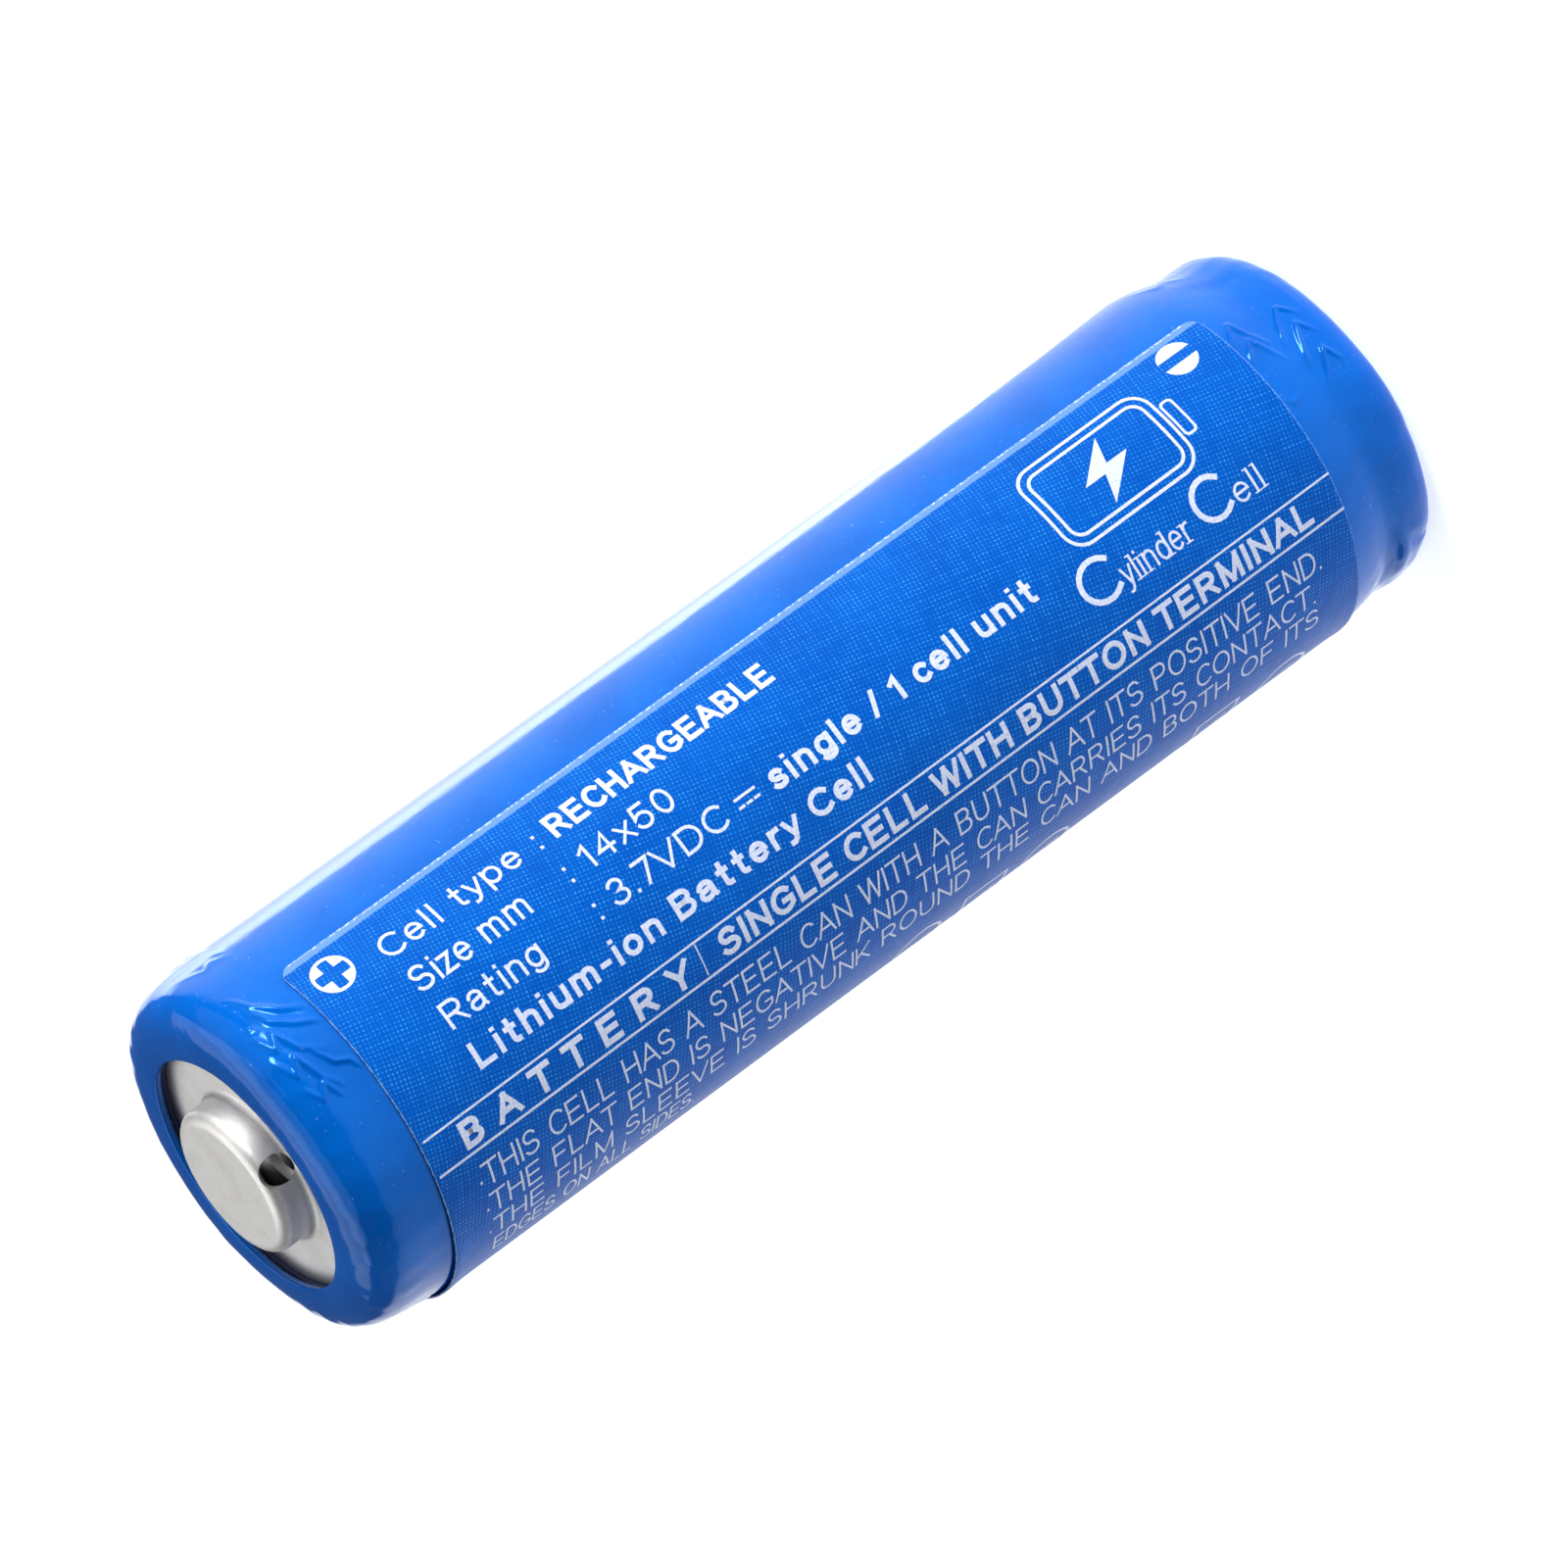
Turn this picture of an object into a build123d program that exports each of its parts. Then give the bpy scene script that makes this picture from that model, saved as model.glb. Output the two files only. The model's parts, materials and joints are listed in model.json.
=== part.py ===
from build123d import *
import os

# Cylindrical lithium-ion cell of the 14 x 50 mm size, with a raised button on its positive end, a heat-shrunk
# plastic sleeve and a wrapped label. It stands on its negative end: +Z runs along the cell's axis to the
# positive button, and z = 0 is the plane of the sleeve's lower lip, on which the cell stands. Lengths are in
# millimetres and angles in degrees, counted about +Z from +X.

# ---- overall sizes
CELL_LENGTH = 50.0          # from the sleeve's lower lip to the top of the button
BUTTON_PROUD = 0.70         # how far the button stands above the sleeve's upper lip
CAN_R = 6.925               # outside radius of the steel can
FIT_GAP = 0.02              # radial clearance between pieces that were pushed or shrunk together

# ---- steel can
CAN_WALL = 0.22
CAN_BASE = 0.30
CAN_CORNER_R = 0.95         # outside, between base and wall
CAN_CORNER_INNER_R = 0.45
FOOT_STEP = 0.305            # how much narrower the can is just above its base
FOOT_LOW = 2.9              # the narrow part's upper end
FOOT_HIGH = 4.0             # where the can has its full radius
PAD_INSET = 2.3             # from the can's outside to the coined contact pad on its base
PAD_HEIGHT = 0.05
BEAD_DEPTH = 1.275          # how far in the bead's groove reaches
BEAD_HALF_WIDTH = 0.30
BEAD_SLOPE = 0.32           # extra height of the groove's lower flank
MOUTH_STEP = 0.265          # the crimped mouth is this much smaller than the can in radius
CRIMP_CURL_R = 1.15
CRIMP_LIP = 1.66            # how far in the crimped lip runs from the mouth's outside

# ---- heat-shrunk sleeve
FILM = 0.10
TOP_LIP_OVERHANG = 0.44     # how far the film's upper lip runs in past the crimped lip
BOTTOM_LIP = 1.15           # flat width of the film's lower lip, with its rounded corner
SHOULDER_WIDTH = 1.51       # the film's rounded shoulder over the mouth
SHOULDER_HEIGHT = 1.30

# ---- wrapped label
LABEL_THICKNESS = 0.08
LABEL_BOTTOM = 4.2
LABEL_TOP_MARGIN = 3.2
LABEL_FIRST_EDGE = 20.0     # angle of its hidden edge
LABEL_SWEEP = 292.6
ADHESIVE = 0.01

# ---- stack crimped into the mouth
WASHER_THICKNESS = 0.10
WASHER_OVERHANG = 0.15      # how far the washer and the gasket run in past the crimped lip
WASHER_OVERLAP = 0.10       # how far the washer runs out past the start of the film's shoulder
GASKET_WALL = 0.67
GASKET_TOP_LIP = 0.20
GASKET_BOTTOM_LIP = 0.30
GASKET_BOTTOM_WIDTH = 1.05  # how far the bottom lip runs in under the stack
CAP_SHEET = 0.35
PTC_THICKNESS = 0.30
PTC_WIDTH = 2.35
VENT_SHEET = 0.20

# ---- positive button
BUTTON_R = 2.84
BUTTON_EDGE_R = 0.45
BUTTON_INNER_EDGE_R = 0.20
BUTTON_FOOT_R = 0.28
VENT_HOLE_WIDTH = 1.15
VENT_HOLE_ANGLE = 79.6      # the second hole is opposite
VENT_HOLES = 2

# ---- vent disc and current interrupter
RIM_WIDTH = 2.13            # the vent disc's flat rim
DISH_DROP = 0.40            # from the rim to the nub
DISH_INNER_R = 1.35         # where the dish's slope meets the short step round the nub
NUB_R = 0.95
NUB_STEP = 0.18             # height of that step
SCORE_INSET = 1.07          # from the rim to the middle of the scored ring
SCORE_WIDTH = 0.16
SCORE_DEPTH = 0.09
SPACER_LIP = 0.70           # how far the spacer runs in past the dish's edge
SPACER_WALL = 0.30
SPACER_SKIRT = 0.35
PLATE_THICKNESS = 0.30
PLATE_HOLES = 6
PLATE_HOLE_R = 0.45
PLATE_HOLE_CIRCLE_R = 2.13

# ---- wound electrode roll
CORE_R = 1.50               # open hole along the middle
ANODE_THICKNESS = 0.145
CATHODE_THICKNESS = 0.155
SEPARATOR_THICKNESS = 0.040
LAYER_GAP = 0.006
ANODE_SETBACK = 0.55        # the anode is shorter than the separators at each end
CATHODE_SETBACK = 1.05
ROLL_CLEARANCE = 0.28       # at least this much between the roll and the can
ROLL_TAPE = 0.05
ROLL_TAPE_MARGIN = 6.3      # bare height of the roll at each end of the tape

# ---- tabs, their tapes and the insulators
TAB_THICKNESS = 0.10
TAB_BEND_R = 0.33           # of the middle of a bent tab
TAB_TAPE = 0.05
TAPE_OVERHANG = 0.10        # how far a tape runs past its tab at each side
NEGATIVE_TAB_WIDTH = 3.0
NEGATIVE_TAB_HEIGHT = 6.0
NEGATIVE_TAB_REACH = 1.5    # past the cell's axis
POSITIVE_TAB_WIDTH = 2.0
POSITIVE_TAB_FOLD = 3.1     # how far the fold reaches to the far side of the axis
POSITIVE_TAB_WELD = 2.0     # where the strip ends under the interrupter's plate
POSITIVE_TAPE_LENGTH = 5.0
INSULATOR = 0.20
INSULATOR_CLEARANCE = 0.12
SLOT_CLEARANCE = 0.12
HEAD_GAP = 0.12             # under the bead, and again between the top insulator and the folded tab
TOP_HOLES = 4
TOP_HOLE_R = 0.60

# ---- radii and levels that follow, from the outside in and from the top down
SLEEVE_IN_R = CAN_R + FIT_GAP
SLEEVE_R = SLEEVE_IN_R + FILM
LABEL_IN_R = SLEEVE_R + ADHESIVE
CAN_INNER_R = CAN_R - CAN_WALL
FOOT_R = CAN_R - FOOT_STEP
FOOT_INNER_R = FOOT_R - CAN_WALL
CRIMP_R = CAN_R - MOUTH_STEP
CRIMP_INNER_R = CRIMP_R - CAN_WALL
CRIMP_EDGE_R = CRIMP_R - CRIMP_LIP
SHOULDER_START_R = CRIMP_R - SHOULDER_WIDTH
SLEEVE_TOP_OPENING_R = CRIMP_EDGE_R - TOP_LIP_OVERHANG
SLEEVE_BOTTOM_OPENING_R = FOOT_R - BOTTOM_LIP
WASHER_INNER_R = CRIMP_EDGE_R - WASHER_OVERHANG
STACK_R = CRIMP_INNER_R - FIT_GAP - GASKET_WALL
GASKET_BOTTOM_OPENING_R = STACK_R - GASKET_BOTTOM_WIDTH
BEAD_TIP_CENTRE_R = CAN_R - BEAD_DEPTH + BEAD_HALF_WIDTH
DISH_R = STACK_R - RIM_WIDTH
SPACER_R = GASKET_BOTTOM_OPENING_R - FIT_GAP
PLATE_R = SPACER_R - SPACER_WALL - FIT_GAP

LIP_TOP = CELL_LENGTH - BUTTON_PROUD
LABEL_TOP = LIP_TOP - LABEL_TOP_MARGIN
CRIMP_TOP = LIP_TOP - FILM - FIT_GAP - WASHER_THICKNESS
CRIMP_UNDER = CRIMP_TOP - CAN_WALL
FLANGE_TOP = CRIMP_UNDER - GASKET_TOP_LIP
PTC_TOP = FLANGE_TOP - CAP_SHEET
VENT_TOP = PTC_TOP - PTC_THICKNESS
VENT_UNDER = VENT_TOP - VENT_SHEET
BEAD_SHOULDER = VENT_UNDER - GASKET_BOTTOM_LIP
BEAD_Z = BEAD_SHOULDER - CAN_WALL - BEAD_HALF_WIDTH
BEAD_LOW = BEAD_Z - BEAD_HALF_WIDTH - BEAD_SLOPE
PLATE_TOP = VENT_UNDER - DISH_DROP
PLATE_UNDER = PLATE_TOP - PLATE_THICKNESS
TOP_INSULATOR_Z = BEAD_LOW - CAN_WALL - HEAD_GAP - INSULATOR
ROLL_TOP = TOP_INSULATOR_Z - LAYER_GAP
CAN_BOTTOM = FILM
CAN_FLOOR = CAN_BOTTOM + CAN_BASE
BOTTOM_INSULATOR_Z = CAN_FLOOR + TAB_THICKNESS
ROLL_BOTTOM = BOTTOM_INSULATOR_Z + INSULATOR + LAYER_GAP

ROLL_PITCH = ANODE_THICKNESS + CATHODE_THICKNESS + 2 * SEPARATOR_THICKNESS + 4 * LAYER_GAP
ROLL_TURNS = int((CAN_INNER_R - ROLL_CLEARANCE - CORE_R) / ROLL_PITCH) - 1
NEGATIVE_TAB_X = CORE_R + ROLL_TURNS * ROLL_PITCH + LAYER_GAP
POSITIVE_TAB_X = (CORE_R ** 2 - (POSITIVE_TAB_WIDTH / 2) ** 2) ** 0.5 - LAYER_GAP - TAB_THICKNESS


def turned(outline):
    """The solid that an outline of edges in radius (x) and height (y) makes when it is turned about Z."""
    return revolve(Plane.XZ * make_face(outline), axis=Axis.Z)


def disc_ring(inner_r, outer_r, low, high):
    """A flat ring, or a disc where its inner radius is zero."""
    return turned(Polyline((inner_r, low), (outer_r, low), (outer_r, high), (inner_r, high), close=True))


def tube(inner_r, outer_r, low, high, first_angle, sweep):
    """Part of a tube about Z, from first_angle over sweep degrees."""
    section = make_face(Polyline((inner_r, low), (outer_r, low), (outer_r, high), (inner_r, high), close=True))
    return Rot(Z=first_angle) * revolve(Plane.XZ * section, axis=Axis.Z, revolution_arc=sweep)


def quarter(centre, radius_x, radius_y, first, last):
    """An arc of an ellipse about centre, counter-clockwise from angle first to angle last."""
    if radius_x == radius_y:
        return CenterArc(centre, radius_x, first, last - first)
    return EllipticalCenterArc(centre, radius_x, radius_y, start_angle=first, arc_size=last - first)


def shrink_sleeve():
    """The film tube, turned in over the base's corner below and over the crimped mouth above."""
    corner_r = CAN_CORNER_R + FIT_GAP
    corner_centre = (FOOT_R - CAN_CORNER_R, CAN_BOTTOM + corner_r)
    shoulder_centre = (SHOULDER_START_R, LIP_TOP - SHOULDER_HEIGHT)
    shoulder_in = CRIMP_R + FIT_GAP - SHOULDER_START_R
    corner_out = quarter(corner_centre, corner_r + FILM, corner_r + FILM, 270, 360)
    corner_in = quarter(corner_centre, corner_r, corner_r, 270, 360)
    shoulder_out = quarter(shoulder_centre, shoulder_in + FILM, SHOULDER_HEIGHT, 0, 90)
    shoulder_inside = quarter(shoulder_centre, shoulder_in, SHOULDER_HEIGHT - FILM, 0, 90)
    outside = Polyline(
        corner_out @ 1, (SLEEVE_R - FOOT_STEP, FOOT_LOW), (SLEEVE_R, FOOT_HIGH), (SLEEVE_R, BEAD_LOW), shoulder_out @ 0
    )
    inside = Polyline(
        corner_in @ 1,
        (SLEEVE_IN_R - FOOT_STEP, FOOT_LOW),
        (SLEEVE_IN_R, FOOT_HIGH),
        (SLEEVE_IN_R, BEAD_LOW),
        shoulder_inside @ 0,
    )
    top_lip = Polyline(
        shoulder_out @ 1, (SLEEVE_TOP_OPENING_R, LIP_TOP), (SLEEVE_TOP_OPENING_R, LIP_TOP - FILM), shoulder_inside @ 1
    )
    bottom_lip = Polyline(
        corner_out @ 0, (SLEEVE_BOTTOM_OPENING_R, 0), (SLEEVE_BOTTOM_OPENING_R, FILM), corner_in @ 0
    )
    return turned([corner_out, corner_in, shoulder_out, shoulder_inside, outside, inside, top_lip, bottom_lip])


def printed_label():
    """The label wraps most of the way round and leaves a strip of the sleeve bare."""
    outer_r = LABEL_IN_R + LABEL_THICKNESS
    return tube(LABEL_IN_R, outer_r, LABEL_BOTTOM, LABEL_TOP, LABEL_FIRST_EDGE, LABEL_SWEEP)


def cell_can():
    """A deep-drawn cup: base with a contact pad, wall, rolled bead, and a mouth crimped over the gasket."""
    base_corner = (FOOT_R - CAN_CORNER_R, CAN_BOTTOM + CAN_CORNER_R)
    floor_corner = (FOOT_INNER_R - CAN_CORNER_INNER_R, CAN_FLOOR + CAN_CORNER_INNER_R)
    tip = (BEAD_TIP_CENTRE_R, BEAD_Z)
    curl = (CRIMP_R - CRIMP_CURL_R, CRIMP_TOP - CRIMP_CURL_R)
    pad_r = CAN_R - PAD_INSET
    outer_tip_r, inner_tip_r = BEAD_HALF_WIDTH, BEAD_HALF_WIDTH + CAN_WALL
    corner_out = quarter(base_corner, CAN_CORNER_R, CAN_CORNER_R, 270, 360)
    corner_in = quarter(floor_corner, CAN_CORNER_INNER_R, CAN_CORNER_INNER_R, 270, 360)
    tip_out = quarter(tip, outer_tip_r, outer_tip_r, 90, 270)
    tip_in = quarter(tip, inner_tip_r, inner_tip_r, 90, 270)
    curl_out = quarter(curl, CRIMP_CURL_R, CRIMP_CURL_R, 0, 90)
    curl_in = quarter(curl, CRIMP_CURL_R - CAN_WALL, CRIMP_CURL_R - CAN_WALL, 0, 90)
    base = Polyline(
        corner_out @ 0,
        (pad_r, CAN_BOTTOM),
        (pad_r, CAN_BOTTOM - PAD_HEIGHT),
        (0, CAN_BOTTOM - PAD_HEIGHT),
        (0, CAN_FLOOR),
        corner_in @ 0,
    )
    wall_out = Polyline(corner_out @ 1, (FOOT_R, FOOT_LOW), (CAN_R, FOOT_HIGH), (CAN_R, BEAD_LOW), tip_out @ 1)
    mouth_out = Polyline(tip_out @ 0, (CRIMP_R, BEAD_Z + outer_tip_r), curl_out @ 0)
    lip = Polyline(curl_out @ 1, (CRIMP_EDGE_R, CRIMP_TOP), (CRIMP_EDGE_R, CRIMP_UNDER), curl_in @ 1)
    mouth_in = Polyline(curl_in @ 0, (CRIMP_INNER_R, BEAD_SHOULDER), tip_in @ 0)
    wall_in = Polyline(
        tip_in @ 1,
        (CAN_INNER_R, BEAD_LOW - CAN_WALL),
        (CAN_INNER_R, FOOT_HIGH),
        (FOOT_INNER_R, FOOT_LOW),
        corner_in @ 1,
    )
    edges = [corner_out, corner_in, tip_out, tip_in, curl_out, curl_in]
    return turned(edges + [base, wall_out, mouth_out, lip, mouth_in, wall_in])


def crimp_washer():
    """The insulating ring that lies on the crimped lip under the film."""
    return disc_ring(WASHER_INNER_R, SHOULDER_START_R + WASHER_OVERLAP, CRIMP_TOP, CRIMP_TOP + WASHER_THICKNESS)


def crimp_gasket():
    """The moulded seal: it lies in the crimped mouth and folds over and under the stack's rim."""
    wall_r = CRIMP_INNER_R - FIT_GAP
    curl_r = CRIMP_CURL_R - CAN_WALL
    pocket_r = STACK_R + FIT_GAP
    curl = quarter((CRIMP_R - CRIMP_CURL_R, CRIMP_TOP - CRIMP_CURL_R), curl_r - FIT_GAP, curl_r, 0, 90)
    body = Polyline(
        curl @ 1,
        (WASHER_INNER_R, CRIMP_UNDER),
        (WASHER_INNER_R, FLANGE_TOP),
        (pocket_r, FLANGE_TOP),
        (pocket_r, VENT_UNDER),
        (GASKET_BOTTOM_OPENING_R, VENT_UNDER),
        (GASKET_BOTTOM_OPENING_R, BEAD_SHOULDER),
        (wall_r, BEAD_SHOULDER),
        curl @ 0,
    )
    return turned([curl, body])


def terminal_cap():
    """The positive terminal: a flange under the gasket and a hollow button with two vent holes at its edge."""
    under = FLANGE_TOP - CAP_SHEET
    inner_r = BUTTON_R - CAP_SHEET
    inner_top = CELL_LENGTH - CAP_SHEET
    edge_r, inner_edge_r, foot_r = BUTTON_EDGE_R, BUTTON_INNER_EDGE_R, BUTTON_FOOT_R
    edge_out = quarter((BUTTON_R - edge_r, CELL_LENGTH - edge_r), edge_r, edge_r, 0, 90)
    edge_in = quarter((inner_r - inner_edge_r, inner_top - inner_edge_r), inner_edge_r, inner_edge_r, 0, 90)
    foot = quarter((BUTTON_R + foot_r, FLANGE_TOP + foot_r), foot_r, foot_r, 180, 270)
    outline = [
        edge_out,
        edge_in,
        foot,
        Polyline(edge_out @ 1, (0, CELL_LENGTH), (0, inner_top), edge_in @ 1),
        Polyline(edge_out @ 0, foot @ 0),
        Polyline(foot @ 1, (STACK_R, FLANGE_TOP), (STACK_R, under), (inner_r, under), edge_in @ 0),
    ]
    cap = turned(outline)
    # Each hole cuts the button's upper edge and its side down to the foot, on the slant.
    slant = Plane(origin=(BUTTON_R, 0, (CELL_LENGTH + FLANGE_TOP) / 2), x_dir=(0, 1, 0), z_dir=(1, 0, 0.8))
    cutter = extrude(slant * Circle(VENT_HOLE_WIDTH / 2), amount=CAP_SHEET * 3, both=True)
    for number in range(VENT_HOLES):
        cap -= Rot(Z=VENT_HOLE_ANGLE + number * 360 / VENT_HOLES) * cutter
    return cap


def ptc_ring():
    """The washer whose resistance rises when the cell is too hot."""
    return disc_ring(STACK_R - PTC_WIDTH, STACK_R, VENT_TOP, PTC_TOP)


def dish_slope():
    """Fall of the vent disc's dish for each millimetre inwards."""
    return (DISH_DROP - NUB_STEP) / (DISH_R - DISH_INNER_R)


def vent_disc():
    """The safety membrane: a clamped rim, a shallow dish, a nub welded to the plate below, and a scored ring."""
    step_top = (DISH_INNER_R, PLATE_TOP + NUB_STEP)
    lower_side = [(0, PLATE_TOP), (NUB_R, PLATE_TOP), step_top, (DISH_R, VENT_UNDER), (STACK_R, VENT_UNDER)]
    upper_side = [(radius, height + VENT_SHEET) for radius, height in reversed(lower_side)]
    dish = turned(Polyline(*lower_side, *upper_side, close=True))
    score_r, score_z = DISH_R - SCORE_INSET, VENT_TOP - dish_slope() * SCORE_INSET - SCORE_DEPTH
    return dish - disc_ring(score_r - SCORE_WIDTH / 2, score_r + SCORE_WIDTH / 2, score_z, VENT_TOP)


def cid_spacer():
    """The insulating ring that holds the interrupter's plate under the vent disc."""
    inner_r, skirt_r = DISH_R - SPACER_LIP, SPACER_R - SPACER_WALL
    return turned(
        Polyline(
            (inner_r, PLATE_TOP),
            (skirt_r, PLATE_TOP),
            (skirt_r, PLATE_TOP - SPACER_SKIRT),
            (SPACER_R, PLATE_TOP - SPACER_SKIRT),
            (SPACER_R, VENT_UNDER),
            (DISH_R, VENT_UNDER),
            (inner_r, VENT_UNDER - SPACER_LIP * dish_slope() * 1.5),
            close=True,
        )
    )


def cid_plate():
    """The interrupter's fixed plate, with gas holes round its welded centre."""
    plate = disc_ring(0, PLATE_R, PLATE_UNDER, PLATE_TOP)
    for number in range(PLATE_HOLES):
        hole = Pos(PLATE_HOLE_CIRCLE_R, 0, PLATE_TOP) * Cylinder(PLATE_HOLE_R, PLATE_THICKNESS * 3)
        plate -= Rot(Z=number * 360 / PLATE_HOLES) * hole
    return plate


def half_turns(offset, first, last):
    """Half turns first to last of the winding spiral, for the face of a layer at offset outside the core.
    Two centres half a pitch apart take turns, so that each half turn grows the radius by half the pitch."""
    arcs = []
    for number in range(first, last + 1):
        radius = CORE_R + offset + number * ROLL_PITCH / 2
        side, centre = (1, 0) if number % 2 == 0 else (-1, ROLL_PITCH / 2)
        arcs.append(ThreePointArc((centre + side * radius, 0), (centre, side * radius), (centre - side * radius, 0)))
    return arcs


def wound_sheet(offset, thickness, low, high, first=0, last=2 * ROLL_TURNS - 1):
    """A sheet between two parallel faces of the winding spiral."""
    inner, outer = half_turns(offset, first, last), half_turns(offset + thickness, first, last)
    ends = [Line(inner[0] @ 0, outer[0] @ 0), Line(inner[-1] @ 1, outer[-1] @ 1)]
    return Pos(Z=low) * extrude(make_face(inner + outer + ends), amount=high - low)


def roll_sheets():
    """The four sheets wound together, from the core outwards, each with its own height."""
    sheets, offset = {}, 0
    for name, thickness, setback in (
        ("anode_sheet", ANODE_THICKNESS, ANODE_SETBACK),
        ("inner_separator", SEPARATOR_THICKNESS, 0),
        ("cathode_sheet", CATHODE_THICKNESS, CATHODE_SETBACK),
        ("outer_separator", SEPARATOR_THICKNESS, 0),
    ):
        sheets[name] = wound_sheet(offset, thickness, ROLL_BOTTOM + setback, ROLL_TOP - setback)
        offset += thickness + LAYER_GAP
    return sheets


def roll_tape():
    """One turn of tape that closes the roll."""
    low, high, last = ROLL_BOTTOM + ROLL_TAPE_MARGIN, ROLL_TOP - ROLL_TAPE_MARGIN, 2 * ROLL_TURNS - 1
    return wound_sheet(ROLL_PITCH, ROLL_TAPE, low, high, last - 1, last)


def bent_strip(points, width):
    """A strip of tab bent along points of X and height, and centred on the plane through X and Z."""
    path = FilletPolyline(*[(x, 0, z) for x, z in points], radius=TAB_BEND_R)
    section = Plane(origin=path @ 0, x_dir=(0, 1, 0), z_dir=path % 0) * Rectangle(width, TAB_THICKNESS)
    return sweep(section, path=path)


def negative_tab():
    """The nickel strip beside the anode's outer turn, folded in under the roll and welded to the can's floor."""
    x, floor = -NEGATIVE_TAB_X - TAB_THICKNESS / 2, CAN_FLOOR + TAB_THICKNESS / 2
    points = [(x, CAN_FLOOR + NEGATIVE_TAB_HEIGHT), (x, floor), (NEGATIVE_TAB_REACH, floor)]
    return bent_strip(points, NEGATIVE_TAB_WIDTH)


def negative_tab_tape():
    """The tape over the negative tab's upright part."""
    outer_x = -NEGATIVE_TAB_X - TAB_THICKNESS
    low, high = CAN_FLOOR + TAB_BEND_R + TAB_THICKNESS, CAN_FLOOR + NEGATIVE_TAB_HEIGHT
    width = NEGATIVE_TAB_WIDTH + 2 * TAPE_OVERHANG
    return Pos(outer_x - TAB_TAPE / 2, 0, (low + high) / 2) * Box(TAB_TAPE, width, high - low)


def positive_tab():
    """The aluminium strip in the roll's core: up through the top insulator, folded, and under the plate."""
    x, weld_z = POSITIVE_TAB_X + TAB_THICKNESS / 2, PLATE_UNDER - TAB_THICKNESS / 2
    fold_z = TOP_INSULATOR_Z + INSULATOR + HEAD_GAP + TAB_THICKNESS / 2
    points = [
        (x, ROLL_BOTTOM + CATHODE_SETBACK),
        (x, fold_z),
        (-POSITIVE_TAB_FOLD, fold_z),
        (-POSITIVE_TAB_FOLD, weld_z),
        (POSITIVE_TAB_WELD, weld_z),
    ]
    return bent_strip(points, POSITIVE_TAB_WIDTH)


def positive_tab_tape():
    """The tape on the positive tab where it leaves the roll."""
    width = POSITIVE_TAB_WIDTH + 2 * TAPE_OVERHANG
    middle_z = TOP_INSULATOR_Z - POSITIVE_TAPE_LENGTH / 2
    return Pos(POSITIVE_TAB_X - TAB_TAPE / 2, 0, middle_z) * Box(TAB_TAPE, width, POSITIVE_TAPE_LENGTH)


def bottom_insulator():
    """The disc between the roll and the welded tab, notched for the tab and open in the middle."""
    outer_r = FOOT_INNER_R - CAN_CORNER_INNER_R
    disc = disc_ring(CORE_R, outer_r, BOTTOM_INSULATOR_Z, BOTTOM_INSULATOR_Z + INSULATOR)
    notch_x = -NEGATIVE_TAB_X + TAB_BEND_R + SLOT_CLEARANCE
    width = NEGATIVE_TAB_WIDTH + 2 * SLOT_CLEARANCE
    return disc - Pos(notch_x - outer_r / 2, 0, BOTTOM_INSULATOR_Z) * Box(outer_r, width, INSULATOR * 3)


def top_insulator():
    """The disc on top of the roll, with a slot for the tab and its tape, and gas holes."""
    disc = disc_ring(0, CAN_INNER_R - INSULATOR_CLEARANCE, TOP_INSULATOR_Z, TOP_INSULATOR_Z + INSULATOR)
    slot_size = (TAB_THICKNESS + TAB_TAPE + 2 * SLOT_CLEARANCE, POSITIVE_TAB_WIDTH + 2 * (TAPE_OVERHANG + SLOT_CLEARANCE))
    slot_x = POSITIVE_TAB_X + (TAB_THICKNESS - TAB_TAPE) / 2
    disc -= Pos(slot_x, 0, TOP_INSULATOR_Z) * Box(*slot_size, INSULATOR * 3)
    for number in range(TOP_HOLES):
        hole = Pos((CORE_R + CAN_INNER_R) / 2, 0, TOP_INSULATOR_Z) * Cylinder(TOP_HOLE_R, INSULATOR * 3)
        disc -= Rot(Z=(number + 0.5) * 360 / TOP_HOLES) * hole
    return disc


def build_parts():
    return {
        "shrink_sleeve": shrink_sleeve(),
        "printed_label": printed_label(),
        "cell_can": cell_can(),
        "crimp_washer": crimp_washer(),
        "crimp_gasket": crimp_gasket(),
        "terminal_cap": terminal_cap(),
        "ptc_ring": ptc_ring(),
        "vent_disc": vent_disc(),
        "cid_spacer": cid_spacer(),
        "cid_plate": cid_plate(),
        **roll_sheets(),
        "roll_tape": roll_tape(),
        "negative_tab": negative_tab(),
        "negative_tab_tape": negative_tab_tape(),
        "positive_tab": positive_tab(),
        "positive_tab_tape": positive_tab_tape(),
        "bottom_insulator": bottom_insulator(),
        "top_insulator": top_insulator(),
    }


os.makedirs("parts", exist_ok=True)
for node, shape in build_parts().items():
    shape.label = node
    export_step(shape, f"parts/{node}.step")
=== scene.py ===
"""Looks for the cylindrical battery cell: a wrinkled heat-shrunk sleeve, a linen-grained label with its print, a
nickel cap, and materials for every piece inside. Lengths in the helpers are in millimetres; MM turns them to metres.

On the barrel a place is given as (s, v): s runs along the axis from the sleeve's upper lip towards the negative
end, and v is the arc length round the label's surface from the side that faces -Y, growing towards -X."""

import json
import math

import bmesh
import bpy
import numpy as np
from mathutils import Matrix, Vector


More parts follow.
